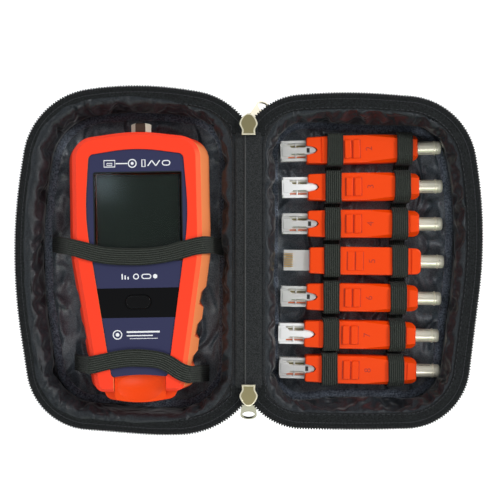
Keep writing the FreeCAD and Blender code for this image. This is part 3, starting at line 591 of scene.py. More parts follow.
def keep_down(x, y):
    """How near a point is to what lies on the lining: 0 right under it, 1 well clear."""
    clear = 1e9
    for low, high in RESTING:
        dx = max(low[0] - x, 0, x - high[0])
        dy = max(low[1] - y, 0, y - high[1])
        clear = min(clear, hypot(dx, dy))
    t = min(1.0, max(0.0, (clear - 0.8) / 7.0))
    return t * t * (3 - 2 * t)


def build_base_lining(side, body):
    """Satin over the base, smooth under what lies on it and rumpled where it is free; it wears the paler copy
    of the satin, painted light for the shade deep in the tray.
    """
    outline = Outline(TRAY_CORNERS[side], 3.0)
    pitch = 2.2
    edge = [outline.at(i, 13.4, PANEL_TOP) for i in range(outline.n)]
    bm = bmesh.new()
    bm.faces.new([bm.verts.new(p) for p in edge])
    xs = [p.x for p in edge]
    ys = [p.y for p in edge]
    for axis, low, high in (((1, 0, 0), min(xs), max(xs)), ((0, 1, 0), min(ys), max(ys))):
        count = int((high - low) / pitch)
        for k in range(1, count):
            at = Vector(axis) * (low + (high - low) * k / count)
            whole = bm.verts[:] + bm.edges[:] + bm.faces[:]
            bmesh.ops.bisect_plane(bm, geom=whole, plane_co=at, plane_no=axis)
    bmesh.ops.remove_doubles(bm, verts=bm.verts, dist=0.5)
    bm.verts.index_update()
    verts = [v.co.copy() for v in bm.verts]
    pinned = [v.index for v in bm.verts if v.is_boundary]
    faces = [tuple(v.index for v in f.verts) for f in bm.faces]
    bm.free()
    for v in verts:
        turned = ripple(v.x, v.y, 0, 40, 4.4) * 14
        large = ridge(v.x * 0.7 + turned, v.y + turned, 0, 17, 1.7, 3.0)
        small = ridge(v.x, v.y, 0, 8.5, 5.1, 3.0)
        v.z += 3.2 * large + 1.6 * small
    sheet = mesh_piece(side + "_base_lining", verts, faces, BASE_SATIN_PAINTED_LIGHT, None, "lining_satin")
    if sheet.data.polygons[0].normal.z < 0:
        sheet.data.flip_normals()
    moved = np.array([tuple(v) for v in verts])
    moved = relaxed(sheet, pinned, growth=0.06, pressure=0.1)
    rim = np.array([tuple(p)[:2] for p in edge])
    for k in range(len(moved)):
        free = keep_down(moved[k][0], moved[k][1])
        near = sqrt(((rim - moved[k][:2]) ** 2).sum(1).min())
        free *= min(1.0, 0.1 + near / 6)
        lift = moved[k][2] - PANEL_TOP
        moved[k][2] = PANEL_TOP - 0.12 + free * min(4.0, max(-0.2, lift)) + (1 - free) * min(0.0, 0.1 * lift)
    set_coordinates(sheet, moved)
    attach(subdivided(sheet), body)
    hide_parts(side + "_base_panel")


def build_binding(side, body):
    """Soft ribbed band over the seam between base and wall."""
    outline = Outline(TRAY_CORNERS[side], 1.6)

    def section(i):
        p = outline.p[i % outline.n]
        wander = bow(side, p) + 0.5 * ripple(p[0], p[1], 0, 14, 6.0)
        swell = 0.8 * ripple(p[0], p[1], 0, 5, 8.0) + 0.4 * ripple(p[0], p[1], 0, 2.4, 3.0)
        middle, half = (LINED + BOUND) / 2 + wander, (BOUND - LINED) / 2 + 0.15 * swell
        out = []
        for k in range(12):
            a = 2 * pi * k / 12
            z = 5.0 + (1.45 + swell * 0.9) * sin(a) * (1 - 0.2 * abs(cos(a)))
            out.append((middle - half * cos(a), z))
        return out
    band = mesh_piece(side + "_binding_band", *swept(outline, range(outline.n), section), BINDING, body,
                      "binding_cloth")
    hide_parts(side + "_binding")


COIL_PATH = [(2.0, 32.7), (1.5, 32.68), (0.8, 32.62), (0.1, 32.45), (-0.1, 32.1), (0.1, 31.75), (0.8, 31.6),
             (2.0, 31.6)]
COIL_WIDE = [0.4, 0.42, 0.46, 0.44, 0.42, 0.44, 0.46, 0.4]
COIL_CORE = [(0.5, 32.0), (0.5, 32.4), (0.8, 32.55), (1.3, 32.55), (1.3, 31.75), (0.8, 31.7)]
TAPE_SECTION = [(0.85, 31.8), (0.85, 32.3), (1.2, 32.66), (2.2, 32.76), (2.9, 32.62), (3.2, 32.36),
                (5.2, 32.42), (6.6, 32.46), (8.0, 32.44), (8.8, 32.3), (9.0, 32.0), (8.9, 31.72),
                (5.0, 31.7), (1.4, 31.7)]


def build_zip(side, body):
    """Tape with a raised cord beside the coil, stitches, and the coil's separate loops on a dark core."""
    outline = Outline(ZIP_CORNERS[side], 1.0)
    run = open_run(outline)
    tape = mesh_piece(side + "_tape", *swept(outline, run, TAPE_SECTION), TAPE, body, "zip_tape")
    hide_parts(side + "_zip_tape")
    stitches(side + "_tape_stitches", outline, run, 3.6, 32.4, body, pitch=2.0)
    stitches(side + "_hem_stitches", outline, run, 8.2, 32.42, body)
    teeth = Outline(ZIP_CORNERS[side], TOOTH_PITCH)
    offset = 0.5 if side == "right" else 0.0
    verts, faces = [], []
    for i in open_run(teeth):
        first = len(verts)
        along, inward = teeth.t(i), teeth.inward(i)
        for k, (u, z) in enumerate(COIL_PATH):
            u0, z0 = COIL_PATH[max(k - 1, 0)]
            u1, z1 = COIL_PATH[min(k + 1, len(COIL_PATH) - 1)]
            direction = (inward * (u1 - u0) + Vector((0, 0, z1 - z0))).normalized()
            side_on = direction.cross(along)
            centre = teeth.at(i, u, z) + along * offset * TOOTH_PITCH
            for m in range(6):
                a = 2 * pi * m / 6
                verts.append(centre + along * (cos(a) * COIL_WIDE[k]) + side_on * (sin(a) * 0.27))
        faces += grid_faces(len(COIL_PATH), 6, close_columns=True, first=first)
        faces += [tuple(first + q for q in cap) for cap in end_caps(len(verts) - first, 6)]
    loops = verts, faces
    coil = mesh_piece(side + "_coil", *joined([loops, swept(teeth, open_run(teeth), COIL_CORE)]), COIL, body,
                      "zip_coil")
    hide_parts(side + "_zip_coil")


SPINE_HALF, SPINE_END, SPINE_ROWS, CREASE_X = 7.2, 70.2, 69, -1.8
SPINE_X = [-SPINE_HALF, -6.9, -6.2, -5, -4, -3, -2.5, -2.1, CREASE_X, -1.5, -1.1, -0.5,
           0, 0.5, 1.1, 2, 3, 4, 5, 6.2, 6.9, SPINE_HALF]


def build_spine():
    """One strip of cloth over the fold line, with a soft crease."""
    verts, under = [], []
    for r in range(SPINE_ROWS):
        y = -SPINE_END + 2 * SPINE_END * r / (SPINE_ROWS - 1)
        for x in SPINE_X:
            edge = 1 - min(1, (SPINE_HALF + 0.05 - abs(x)) / 0.6)
            crease = 0.9 * exp(-((x - CREASE_X + 0.15 * ripple(0, y, 0, 30, 2)) / 0.45) ** 2)
            sag = 0.25 * cos(x / SPINE_HALF * pi / 2) + 0.12 * ripple(x, y, 0, 12, 3)
            verts.append(Vector((x, y, 32.55 - 0.35 * edge ** 2 + crease - sag * 0.6)))
            under.append(Vector((x, y, TAPE_LOW)))
    top, n = len(verts), len(SPINE_X)
    faces = grid_faces(SPINE_ROWS, n) + [f[::-1] for f in grid_faces(SPINE_ROWS, n, first=top)]
    for r in range(SPINE_ROWS - 1):
        faces.append((r * n, top + r * n, top + (r + 1) * n, (r + 1) * n))
        faces.append((r * n + n - 1, (r + 1) * n + n - 1, top + (r + 1) * n + n - 1, top + r * n + n - 1))
    for r in (0, SPINE_ROWS - 1):
        faces += [(r * n + k, r * n + k + 1, top + r * n + k + 1, top + r * n + k) for k in range(n - 1)]
    strip = mesh_piece("spine_strip", verts + under, faces, SPINE, None, "spine_cloth")
    # faces on the crease's crest wear the paler cloth, a painted highlight
    strip.data.materials.append(SPINE_CREASE_HIGHLIGHT)
    for polygon in strip.data.polygons:
        if abs(polygon.center.x / MM - CREASE_X) < 0.25 and polygon.center.z > 32.3 * MM:
            polygon.material_index = 1
    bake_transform(strip)
    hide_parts("left_spine_fabric", "right_spine_fabric")


def joined(shapes):
    """Vertices and faces of several shapes as one."""
    verts, faces = [], []
    for v, f in shapes:
        faces += [tuple(len(verts) + i for i in face) for face in f]
        verts += v
    return verts, faces


# what lies on the lining and keeps it down: the lower strap's two ends, and these CAD parts
RESTING = [(Vector((-104, -66, 0)), Vector((-92, -53, 0))), (Vector((-32, -72, 0)), Vector((-18, -59, 0)))]
ON_LINING = ("_rubber_boot", "_casing", "_network_plug", "_coax_barrel", "_loops_inner", "_loops_outer")
for name in NODES:
    if name.endswith(ON_LINING):
        low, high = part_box(name)
        RESTING.append((low / MM, high / MM))

for side in ("left", "right"):
    body = side + "_case"
    build_shell(side, body)
    build_wall_lining(side, body)
    build_base_lining(side, body)
    build_binding(side, body)
    build_zip(side, body)
build_spine()

# --- elastic


def smooth_path(points, steps):
    """Catmull-Rom curve through the points."""
    pts = [Vector(p) for p in points]
    pts = [pts[0] * 2 - pts[1]] + pts + [pts[-1] * 2 - pts[-2]]
    out = []
    for i in range(1, len(pts) - 2):
        p0, p1, p2, p3 = pts[i - 1:i + 3]
        for k in range(steps):
            t = k / steps
            out.append(0.5 * ((2 * p1) + (p2 - p0) * t + (2 * p0 - 5 * p1 + 4 * p2 - p3) * t * t
                              + (3 * p1 - p0 - 3 * p2 + p3) * t ** 3))
    return out + [pts[-2]]


ELASTIC_THICK, RIBS, RIB_STEPS, EDGE_WAVE = 1.05, 8, 6, 0.05


def webbing(name, path, ups, width, body, seed):
    """Elastic along a path, ribbed lengthwise on its upper face, with a paler line in each groove."""
    count = RIBS * RIB_STEPS
    profile = []
    for k in range(count + 1):
        v = -0.5 + k / count
        rib = abs(sin(pi * RIBS * (v + 0.5))) ** 0.6
        profile.append((v, ELASTIC_THICK * (0.66 + 0.34 * rib)))
    profile += [(v, -0.02 * ELASTIC_THICK) for v, _ in profile[::-RIB_STEPS]]
    verts = []
    for i, p in enumerate(path):
        along = (path[min(i + 1, len(path) - 1)] - path[max(i - 1, 0)]).normalized()
        across = ups[i].cross(along).normalized()
        up = along.cross(across).normalized()
        w = width * (1 + EDGE_WAVE * noise.noise(Vector((p.x / 9 + seed, p.y / 9, p.z / 14))))
        verts += [p + across * (v * w) + up * h for v, h in profile]
    n = len(profile)
    faces = grid_faces(len(path), n, close_columns=True) + end_caps(len(verts), n)
    band = mesh_piece(name, verts, faces, ELASTIC, body, "elastic")
    band.data.materials.append(RIB)
    for k in range((len(path) - 1) * n):
        if k % n < count - RIB_STEPS and k % n % RIB_STEPS == RIB_STEPS - 1:
            band.data.polygons[k].material_index = 1
    return band


def rounded_path(corners, radius, step):
    """Straight runs through corners, each corner rounded."""
    out = [Vector(corners[0])]
    for i in range(1, len(corners) - 1):
        here = Vector(corners[i])
        back = Vector(corners[i - 1]) - here
        ahead = Vector(corners[i + 1]) - here
        reach = min(radius, back.length * 0.45, ahead.length * 0.45)
        a, b = here + back.normalized() * reach, here + ahead.normalized() * reach
        for k in range(9):
            t = k / 8
            out.append(a * (1 - t) ** 2 + here * (2 * t * (1 - t)) + b * t * t)
    out.append(Vector(corners[-1]))
    dense = [out[0]]
    for a, b in zip(out, out[1:]):
        count = max(1, int((b - a).length / step))
        dense += [a.lerp(b, (k + 1) / count) for k in range(count)]
    return dense


def upward(path, turned_up):
    """Upward direction at each point of a path, by a rule that turns its run upwards."""
    last = len(path) - 1
    runs = [path[min(i + 2, last)] - path[max(i - 2, 0)] for i in range(len(path))]
    return [Vector(turned_up(d)).normalized() for d in runs]


def strap(name, stations, cad_node, sway):
    """Strap from anchor to anchor over the tester; sway gives its place along Y by (x, y) pairs."""
    line = smooth_path([(x, y, 0) for x, y in sway], 14)
    xs, ys = [p.x for p in line], [p.y for p in line]
    path = [Vector((p.x, float(np.interp(p.x, xs, ys)), p.z)) for p in rounded_path(stations, 3.0, 1.0)]
    band = webbing(name, path, upward(path, lambda d: (-d.z, 0, d.x)), STRAP_WIDTH, "left_case", 1.0)
    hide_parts(cad_node)
    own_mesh(band)


STRAP_WIDTH, LOOP_WIDTH, STRAP_Z = 9.3, 9.0, 40.35
UPPER = [(-112.0, 8.7, 5.7), (-96.4, 4.6, STRAP_Z), (-60.6, 2.5, STRAP_Z), (-24.9, 4.4, STRAP_Z),
         (-14.8, 7.6, 5.7)]
LOWER = [(-99.5, -59.9, 4.1), (-86.0, -56.6, STRAP_Z), (-62.3, -53.5, STRAP_Z), (-32.9, -61.2, STRAP_Z),
         (-23.6, -66.4, 4.1)]
UPPER_SWAY = [(-112.0, 8.7), (-96.4, 7.0), (-79, 2.8), (-60.6, 1.9), (-45, 3.4), (-25, 8.2), (-14.8, 6.8)]
LOWER_SWAY = [(-99.5, -59.4), (-86, -57.0), (-71, -53.8), (-60, -53.0), (-47, -54.6), (-37.5, -60.0),
              (-33, -62.0), (-23.6, -65.5)]
strap("strap_upper", UPPER, "tester_strap_upper", UPPER_SWAY)
strap("strap_lower", LOWER, "tester_strap_lower", LOWER_SWAY)

# number, x, y, turn in degrees, and whether the remote lies on its face
REMOTES = [(2, 64.2, 62.7, 1.5, False), (3, 65.1, 41.4, 0.6, False), (4, 65.0, 20.4, 0.0, False),
           (5, 65.9, -0.7, -0.6, True), (6, 64.3, -21.5, -1.0, False), (7, 63.0, -42.6, -1.0, False),
           (8, 63.4, -62.4, -1.4, False)]
BODY_LOW, BODY_TOP, RIDGE_RISE, CASING_HALF, LOOP_AIR = 4.1, 17.0, 0.5, 7.9, 0.36
BODY_MID = (BODY_LOW + BODY_TOP) / 2
LOOP_X = {"inner": 47.8, "outer": 85.6}
LOOP_SHIFT = {"inner": [1.1, 0.4, -0.2, -0.4, -0.9, -1.5, -2.1],
              "outer": [2.9, 1.4, 0, -0.3, -0.9, -1.6, -2.4]}
# how far from the middle the band leaves the flat top, and its drop from there to the side
LOOP_SHOULDER = {"inner": (7.0, 0.4), "outer": (5.6, 3.0)}


def loop(place_name, k):
    """One hump of an elastic band over a remote, with the sewn-down run towards the next remote."""
    number, _, _, _, flipped = REMOTES[k]
    shifts = LOOP_SHIFT[place_name]
    x = LOOP_X[place_name] + shifts[k]
    up_x = LOOP_X[place_name] + (shifts[k] + shifts[max(k - 1, 0)]) / 2
    down_x = LOOP_X[place_name] + (shifts[k] + shifts[min(k + 1, len(shifts) - 1)]) / 2

    def middle(m):
        _, mx, my, mt, _ = REMOTES[m]
        return my + (x - mx) * tan(radians(mt))
    y = middle(k)
    half, low = CASING_HALF + LOOP_AIR, PANEL_TOP + 0.02
    top = BODY_TOP + RIDGE_RISE + LOOP_AIR
    shoulder, drop = LOOP_SHOULDER["inner" if flipped else place_name]
    above = 1.9 if k == 0 else (middle(k - 1) - y) / 2 - half
    below = 1.9 if k == len(REMOTES) - 1 else (y - middle(k + 1)) / 2 - half
    drift = 0.7 * noise.noise(Vector((x / 20, k * 1.7, 0)))
    corners = [(up_x, y + half + above, low), (x * 0.7 + up_x * 0.3, y + half + 0.15, low),
               (x, y + half, top - drop), (x + drift, y + shoulder, top),
               (x + drift, y - shoulder, top), (x, y - half, top - drop),
               (x * 0.7 + down_x * 0.3, y - half - 0.15, low), (down_x, y - half - below, low)]
    path = rounded_path(corners, 1.7, 0.8)
    ups = upward(path, lambda d: (0, d.z, -d.y))
    band = webbing(f"loop_{place_name}_{number}", path, ups, LOOP_WIDTH, "right_case", k * 3.3 + x)
    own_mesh(band)
    return band


for place_name in LOOP_X:
    for k in range(len(REMOTES)):
        band = loop(place_name, k)
        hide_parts("remote_loops_" + place_name)

# --- hard parts


def turned(profile, sides=40, closed=False):
    """Vertices and faces of (x, radius) pairs turned about X."""
    verts = []
    for x, r in profile:
        for m in range(sides):
            a = 2 * pi * m / sides
            verts.append(Vector((x, r * cos(a), r * sin(a))))
    faces = grid_faces(len(profile), sides, close_columns=True, close_rows=closed)
    return verts, faces if closed else faces + end_caps(len(verts), sides)


def boxes(items):
    """Vertices and faces of upright boxes given as (x0, x1, y0, y1, z0, z1)."""
    centred = []
    for x0, x1, y0, y1, z0, z1 in items:
        size = ((x1 - x0) / 2, (y1 - y0) / 2, (z1 - z0) / 2)
        centre = Vector(((x0 + x1) / 2, (y0 + y1) / 2, (z0 + z1) / 2))
        centred.append((centre, ALONG_X, Vector((0, 1, 0)), UP, size))
    return bars(centred, 1.0)


def remote_matrix(k):
    """From a remote's own frame to its place in the case, in millimetres."""
    _, x, y, turn, flipped = REMOTES[k]
    m = Matrix.Translation((x, y, 0)) @ Matrix.Rotation(radians(turn), 4, "Z")
    if flipped:
        m = m @ Matrix.Translation((0, 0, RIDGE_RISE + BODY_MID)) @ Matrix.Rotation(pi, 4, "X")
        m = m @ Matrix.Translation((0, 0, -BODY_MID))
    return m


def fitted(name, shape, matrix, body, look, slot, smooth=False, edge=0.0):
    """Piece made in its body's own frame and put in its place by a matrix, with its edges rounded by edge."""
    verts, faces = shape
    obj = mesh_piece(name, [matrix @ v for v in verts], faces, look, body, slot, smooth)
    if edge:
        soften(obj, edge)
    return obj


def on_remote(k, name, shape, look, slot, **how):
    own = f"remote_{REMOTES[k][0]}"
    return fitted(f"{own}_{name}", shape, remote_matrix(k), own, look, slot, **how)


DIGIT_SIZE, DIGIT_DEPTH = 5.2, 0.16
PLUG_TIP, PLUG_HALF, PLUG_LOW, WIRE_PITCH = -46.2, 5.85, BODY_MID - 4.05, 1.02
BRIGHT_PLUGS = (3, 7)


def network_plug(k):
    """Clear plug with its latch, its eight contacts and the wires that show through."""
    tip, half, low, deck = PLUG_TIP, PLUG_HALF, PLUG_LOW, PLUG_LOW + 6.2
    look = BRIGHT if REMOTES[k][0] in BRIGHT_PLUGS else CLEAR
    body = boxes([(tip + 0.1, -26.6, -half, half, low + 0.9, deck)])
    shell = on_remote(k, "plug_body", body, look, "plug_clear", edge=0.3)
    rails = boxes([(tip + 0.6, -31.8, -half, -half + 1.5, deck, low + 8.1),
                   (tip + 0.6, -31.8, half - 1.5, half, deck, low + 8.1),
                   (tip, tip + 4.4, -half + 1.5, half - 1.5, deck, low + 7.9),
                   (tip + 8.2, tip + 9.2, -half + 1.5, half - 1.5, deck, low + 6.9)])
    on_remote(k, "plug_rails", rails, look, "plug_clear", edge=0.25)
    flank = [(tip + 1.0, -3.1), (tip + 5.2, -3.1), (tip + 6.4, -1.7), (-32.6, -1.7), (-31.2, -2.5),
             (-28.6, -2.2), (-26.6, -1.2)]
    latch = flank + [(-25.9, 0)] + [(x, -y) for x, y in flank[::-1]]
    slope = prism(latch, low + 7.0, lambda x: low + 8.15 + 1.45 * (x - tip) / 20)
    on_remote(k, "plug_latch", slope, look, "plug_clear", edge=0.3)
    if look is CLEAR:
        # a dark bar of painted shade where the latch's recess lies
        well = boxes([(-31.3, -27.4, -1.3, 1.3, low + 9.0, low + 9.35)])
        on_remote(k, "latch_recess_shade", well, BLACK_AND_SHADE, "jack_black")
    lanes = [(m - 3.5) * WIRE_PITCH for m in range(8)]
    for m, y in enumerate(lanes):
        wire = boxes([(tip + 2.0, -32.0, y - 0.36, y + 0.36, deck, low + 6.45)])
        on_remote(k, f"plug_wire_{m}", wire, WIRES[m], "jack_black")
    pins = boxes([(tip + 0.4, tip + 5.4, y - 0.2, y + 0.2, low + 0.15, low + 3.0) for y in lanes])
    on_remote(k, "plug_contacts", pins, GOLD, "nickel")
    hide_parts(f"remote_{REMOTES[k][0]}_network_plug")


def coax_barrel(k):
    """Push-on coax barrel with a snap ring, slits drawn as dark bars of painted shade, and a centre contact.
    """
    profile = [(25.6, 0.4), (25.6, 3.78), (40.9, 3.78), (41.0, 3.55), (41.2, 3.55), (41.25, 4.1),
               (41.95, 4.1), (42.0, 3.55), (42.35, 3.55), (42.5, 3.78), (44.3, 3.74), (44.9, 3.5),
               (45.2, 3.15), (45.1, 2.7), (37.3, 2.65), (37.3, 0.4)]
    verts, faces = turned(profile, closed=True)
    lift = Vector((0, 0, BODY_MID))
    barrel = on_remote(k, "barrel", ([v + lift for v in verts], faces), BARREL, "nickel", smooth=True)
    barrel.data.set_sharp_from_angle(angle=radians(38))
    verts, faces = turned([(36.4, 0.5), (44.2, 0.5), (44.7, 0.2)], 12)
    on_remote(k, "centre_contact", ([v + lift for v in verts], faces), GOLD, "nickel", smooth=True)
    # the slits are not cut: dark bars of painted shade lie on the barrel where they are
    slits = []
    for a in (0.62, 2.52, 3.76, 5.66):
        out = Vector((0, cos(a), sin(a)))
        centre = lift + ALONG_X * 36.6 + out * 3.72
        slits.append((centre, ALONG_X, out.cross(ALONG_X), out, (4.2, 0.14, 0.1)))
    on_remote(k, "barrel_slit_shade", bars(slits), BLACK_AND_SHADE, "jack_black")
    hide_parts(f"remote_{REMOTES[k][0]}_coax_barrel")


def digit(number, matrix):
    """A remote's number as a raised plain digit, from Blender's own letter shapes."""
    name = f"remote_{number}_digit"
    curve = bpy.data.curves.new(name, "FONT")
    curve.body = str(number)
    curve.size = DIGIT_SIZE
    curve.extrude = DIGIT_DEPTH / 2
    curve.align_x = curve.align_y = "CENTER"
    curve.resolution_u = 4
    holder = linked(name + "_curve", curve)
    made = bpy.data.meshes.new_from_object(holder.evaluated_get(bpy.context.evaluated_depsgraph_get()))
    verts = [matrix @ v.co for v in made.vertices]
    faces = [tuple(p.vertices) for p in made.polygons]
    bpy.data.objects.remove(holder)
    bpy.data.meshes.remove(made)
    mesh_piece(name, verts, faces, DIGIT_AND_GROOVE_SHADE, f"remote_{number}", "remote_plastic", smooth=False)


def groove(k, x, face):
    """Painted shade at the foot of a grip ridge: a thin dark strip across the casing, standing in for the
    groove's shade.
    """
    out = 1 if face == BODY_TOP else -1
    z0, z1 = sorted((face - 0.05 * out, face + 0.12 * out))
    strip = boxes([(x - 0.22, x + 0.22, -5.2, 5.2, z0, z1)])
    on_remote(k, f"groove_{round(-x * 10)}", strip, DIGIT_AND_GROOVE_SHADE, "remote_plastic", edge=0.05)


def remote_marks(k):
    """The remote's number, its two grip ridges and painted shade strips for the grooves beside them, on the
    side that lies up.
    """
    number, _, _, _, flipped = REMOTES[k]
    face = BODY_LOW if flipped else BODY_TOP
    upright = Matrix.Rotation(pi, 4, "X") if flipped else Matrix.Identity(4)
    at = Matrix.Translation((4.0, 0, face)) @ upright @ Matrix.Rotation(pi / 2, 4, "Z")
    digit(number, remote_matrix(k) @ at)
    if flipped:
        ridges = boxes([(-10.0, -6.1, -5.4, 5.4, BODY_LOW - RIDGE_RISE, BODY_LOW + 0.2),
                        (-5.4, -1.2, -5.4, 5.4, BODY_LOW - RIDGE_RISE, BODY_LOW + 0.2)])
        on_remote(k, "back_ridges", ridges, REMOTE, "remote_plastic", edge=0.4)
    else:
        caps = boxes([(-9.9, -6.3, -5.2, 5.2, BODY_TOP + 0.1, BODY_TOP + 1.05),
                      (-5.1, -1.5, -5.2, 5.2, BODY_TOP + 0.1, BODY_TOP + 1.05)])
        soften(on_remote(k, "grip_ridges", caps, REMOTE, "remote_plastic"), 0.85, 4)
    # dark strips of painted shade where the grooves lie beside the ridges
    for x in (-10.3, -5.7, -1.1):
        groove(k, x, face)


for k in range(len(REMOTES)):
    network_plug(k)
    coax_barrel(k)
    remote_marks(k)
    soften(NODES[f"remote_{REMOTES[k][0]}_casing"], 0.3)

TESTER = Matrix.Translation((TESTER_X, TESTER_Y, 0)) @ Matrix.Rotation(radians(TESTER_TURN), 4, "Z")
FACE_Z, BUTTON_Z, COAX_X, COAX_Z = 39.4, 40.0, 1.4, 21.5


def on_tester(name, shape, look, slot, body="tester", **how):
    return fitted(name, shape, TESTER, body, look, slot, **how)


def ring(points, width, z0, z1):
    """Vertices and faces of a flat frame: a closed line of points with a width, inwards."""
    n = len(points)
    inner = []
    for i, p in enumerate(points):
        d = Vector(points[(i + 1) % n]) - Vector(points[i - 1])
        side = Vector((-d.y, d.x)).normalized()
        inner.append(Vector(p) + side * width)
    verts = []
    for z, line in ((z0, points), (z1, points), (z1, inner), (z0, inner)):
        verts += [Vector((p[0], p[1], z)) for p in line]
    return verts, grid_faces(4, n, close_rows=True, close_columns=True)


DISC_SIDES, ARC_POINTS = 24, 14


def arc(x, y, r, start, end):
    return [(x + r * cos(a), y + r * sin(a)) for a in np.linspace(start, end, ARC_POINTS)]


def stadium(x, y, length, width):
    """Points of an oval with straight sides, anticlockwise."""
    r, reach, quarter = width / 2, (length - width) / 2, pi / 2
    return arc(x + reach, y, r, -quarter, quarter) + arc(x - reach, y, r, quarter, 3 * quarter)


def disc(x, y, r):
    turns = [2 * pi * k / DISC_SIDES for k in range(DISC_SIDES)]
    return [(x + r * cos(a), y + r * sin(a)) for a in turns]


def rectangle(x0, x1, y0, y1):
    return [(x0, y0), (x1, y0), (x1, y1), (x0, y1)]


def stroke(a, b, half):
    """Points of a straight bar from a to b."""
    a, b = Vector(a), Vector(b)
    side = Vector((-(b - a).y, (b - a).x)).normalized() * half
    return [tuple(a - side), tuple(b - side), tuple(b + side), tuple(a + side)]


def flat(points):
    return prism(points, FACE_Z - 0.02, FACE_Z + 0.06)


def bar(a, b, half=0.3):
    return flat(stroke(a, b, half))


def outlined(points, width=0.55):
    return ring(points, width, FACE_Z - 0.02, FACE_Z + 0.06)


# plain pictograms where the photographed tester carries its names: a cable with its two ends, and small signs
SIGNS = {
    "top": [outlined(rectangle(-17.5, -11.3, 54.6, 58.6)), outlined(rectangle(-15.9, -12.9, 55.6, 57.0), 0.4),
            bar((-11.0, 56.6), (-4.6, 56.6)), outlined(disc(-2.0, 56.6, 2.4)), flat(disc(-2.0, 56.6, 0.8)),
            outlined(rectangle(3.0, 5.2, 54.6, 58.6)), bar((6.4, 55.1), (8.6, 58.1)),
            bar((8.6, 58.1), (10.8, 55.1)), bar((10.8, 55.1), (13.0, 58.1)),
            outlined(stadium(16.4, 56.6, 4.6, 3.0))],
    "middle": [bar((-8.5, -3.4), (-8.5, -6.4), 0.35), bar((-6.9, -4.2), (-6.9, -6.4), 0.35),
               bar((-5.3, -5.0), (-5.3, -6.4), 0.35), outlined(disc(-1.0, -4.9, 1.6)),
               outlined(stadium(4.6, -4.9, 5.4, 2.8)), flat(disc(9.4, -4.9, 1.2))],
    "lower": [outlined(disc(-11.6, -36.4, 2.6)), flat(disc(-11.6, -36.4, 1.0)),
              bar((-6.6, -35.0), (11.4, -35.0), 0.45), bar((-6.6, -37.0), (7.6, -37.0)),
              bar((-5.0, -38.6), (10.2, -38.6), 0.16)],
}
for place_name, signs in SIGNS.items():
    on_tester("face_signs_" + place_name, joined(signs), PRINT, "face_film")

button_rim = ring(stadium(0, -18.7, 13.2, 6.7), 0.5, BUTTON_Z - 0.1, BUTTON_Z + 0.1)
on_tester("button_rim", button_rim, BUTTON, "button_rubber", edge=0.08, body="power_button")
screen = rectangle(-23.5, 24.9, 3.35, 52.15)
on_tester("screen_edge", ring(screen, 0.7, 36.05, 39.12), BLACK_AND_SHADE, "strip_film")
# the mask's left corners lie further out and lower than the screen's
mask = [(x - 0.6, y - 0.6) if x < 0 else (x, y) for x, y in screen]
on_tester("screen_mask", ring(mask, 3.2, 36.02, 36.1), BLACK_AND_SHADE, "strip_film")


def hex_end():
    """The coax jack's hexagonal end with an open mouth, one of its facets painted dark: a painted dark
    reflection.
    """
    y0, y1, corner, mouth = 74.9, 80.1, 5.6, 4.3
    stations = [(y0, corner - 0.5), (y0 + 0.5, corner), (y1 - 0.7, corner), (y1, corner - 0.8),
                (y1, mouth), (y0, mouth)]
    verts = []
    for y, r in stations:
        for m in range(6):
            a = radians(60 * m)
            verts.append(Vector((COAX_X + r * cos(a), y, COAX_Z + r * sin(a))))
    faces = grid_faces(len(stations), 6, close_rows=True, close_columns=True)
    nut = on_tester("coax_hex", (verts, faces), HEX_METAL, "nickel")
    nut.data.materials.append(HEX_PAINTED_SHADE)
    # one facet of the outside gets the painted dark reflection
    for i in range(1, 18, 6):
        nut.data.polygons[i].material_index = 1
    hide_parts("tester_coax_nut")


hex_end()


SLIDER_TOP, SLIDER_EDGE = 35.9, 0.12


def slider_plan(inset):
    """Right half of a slider plate's outline, from its narrow end to its nose, as (half width, v)."""
    points = [(3.75, 0), (3.6, 2.9), (4.9, 5.7), (4.4, 8.0), (2.9, 10.2), (0.6, 11.75)]
    line = smooth_path([(x, v, 0) for x, v in points], 5)
    return [(max(0.05, p.x - inset), min(11.8 - inset, max(inset * 0.6, p.y))) for p in line]


def slider_trim(end):
    """Polished rim round the slider's upper plate, and a bright lip at its narrow end."""
    def placed(points, z):
        turn, y = (1, 68.5) if end == "top" else (-1, -68.2)
        return [Vector((x * turn, y + v * turn, z)) for x, v in points]
    halves = [slider_plan(0.0), slider_plan(0.85)]
    outer, inner = [line + [(-x, v) for x, v in line[::-1]] for line in halves]
    top, n = SLIDER_TOP, len(outer)
    verts = placed(outer, top - 0.75) + placed(outer, top + 0.1)
    verts += placed(inner, top + 0.16) + placed(inner, top - 0.3)
    faces = grid_faces(4, n, close_rows=True, close_columns=True)
    body = f"zip_slider_{end}"
    soften(mesh_piece(f"slider_rim_{end}", verts, faces, PALE_RIM, body, "slider_brass"), SLIDER_EDGE)
    verts = placed(rectangle(-3.4, 3.4, 0.1, 0.9), top - 0.1)
    verts += placed(rectangle(-3.3, 3.3, 0.2, 0.8), top + 0.35)
    faces = [(3, 2, 1, 0), (4, 5, 6, 7)] + [(k, (k + 1) % 4, 4 + (k + 1) % 4, 4 + k) for k in range(4)]
    lip = mesh_piece(f"slider_lip_{end}", verts, faces, PALE_RIM, body, "slider_brass", smooth=False)
    soften(lip, SLIDER_EDGE)


NODES["zip_pull_bottom"].data.materials[0] = GREY_PULL
for end in ("top", "bottom"):
    slider_trim(end)
    soften(NODES["zip_slider_" + end], 0.25)
    soften(NODES["zip_pull_" + end], 0.25)
for name in ("tester_face_panel", "tester_keypad_strip"):
    soften(NODES[name], 0.2)
soften(NODES["tester_rubber_boot"], 0.8, 3, 30)
soften(NODES["tester_power_button"], 0.35, 3)
soften(NODES["docked_remote_casing"], 0.9, 3)

# --- stage


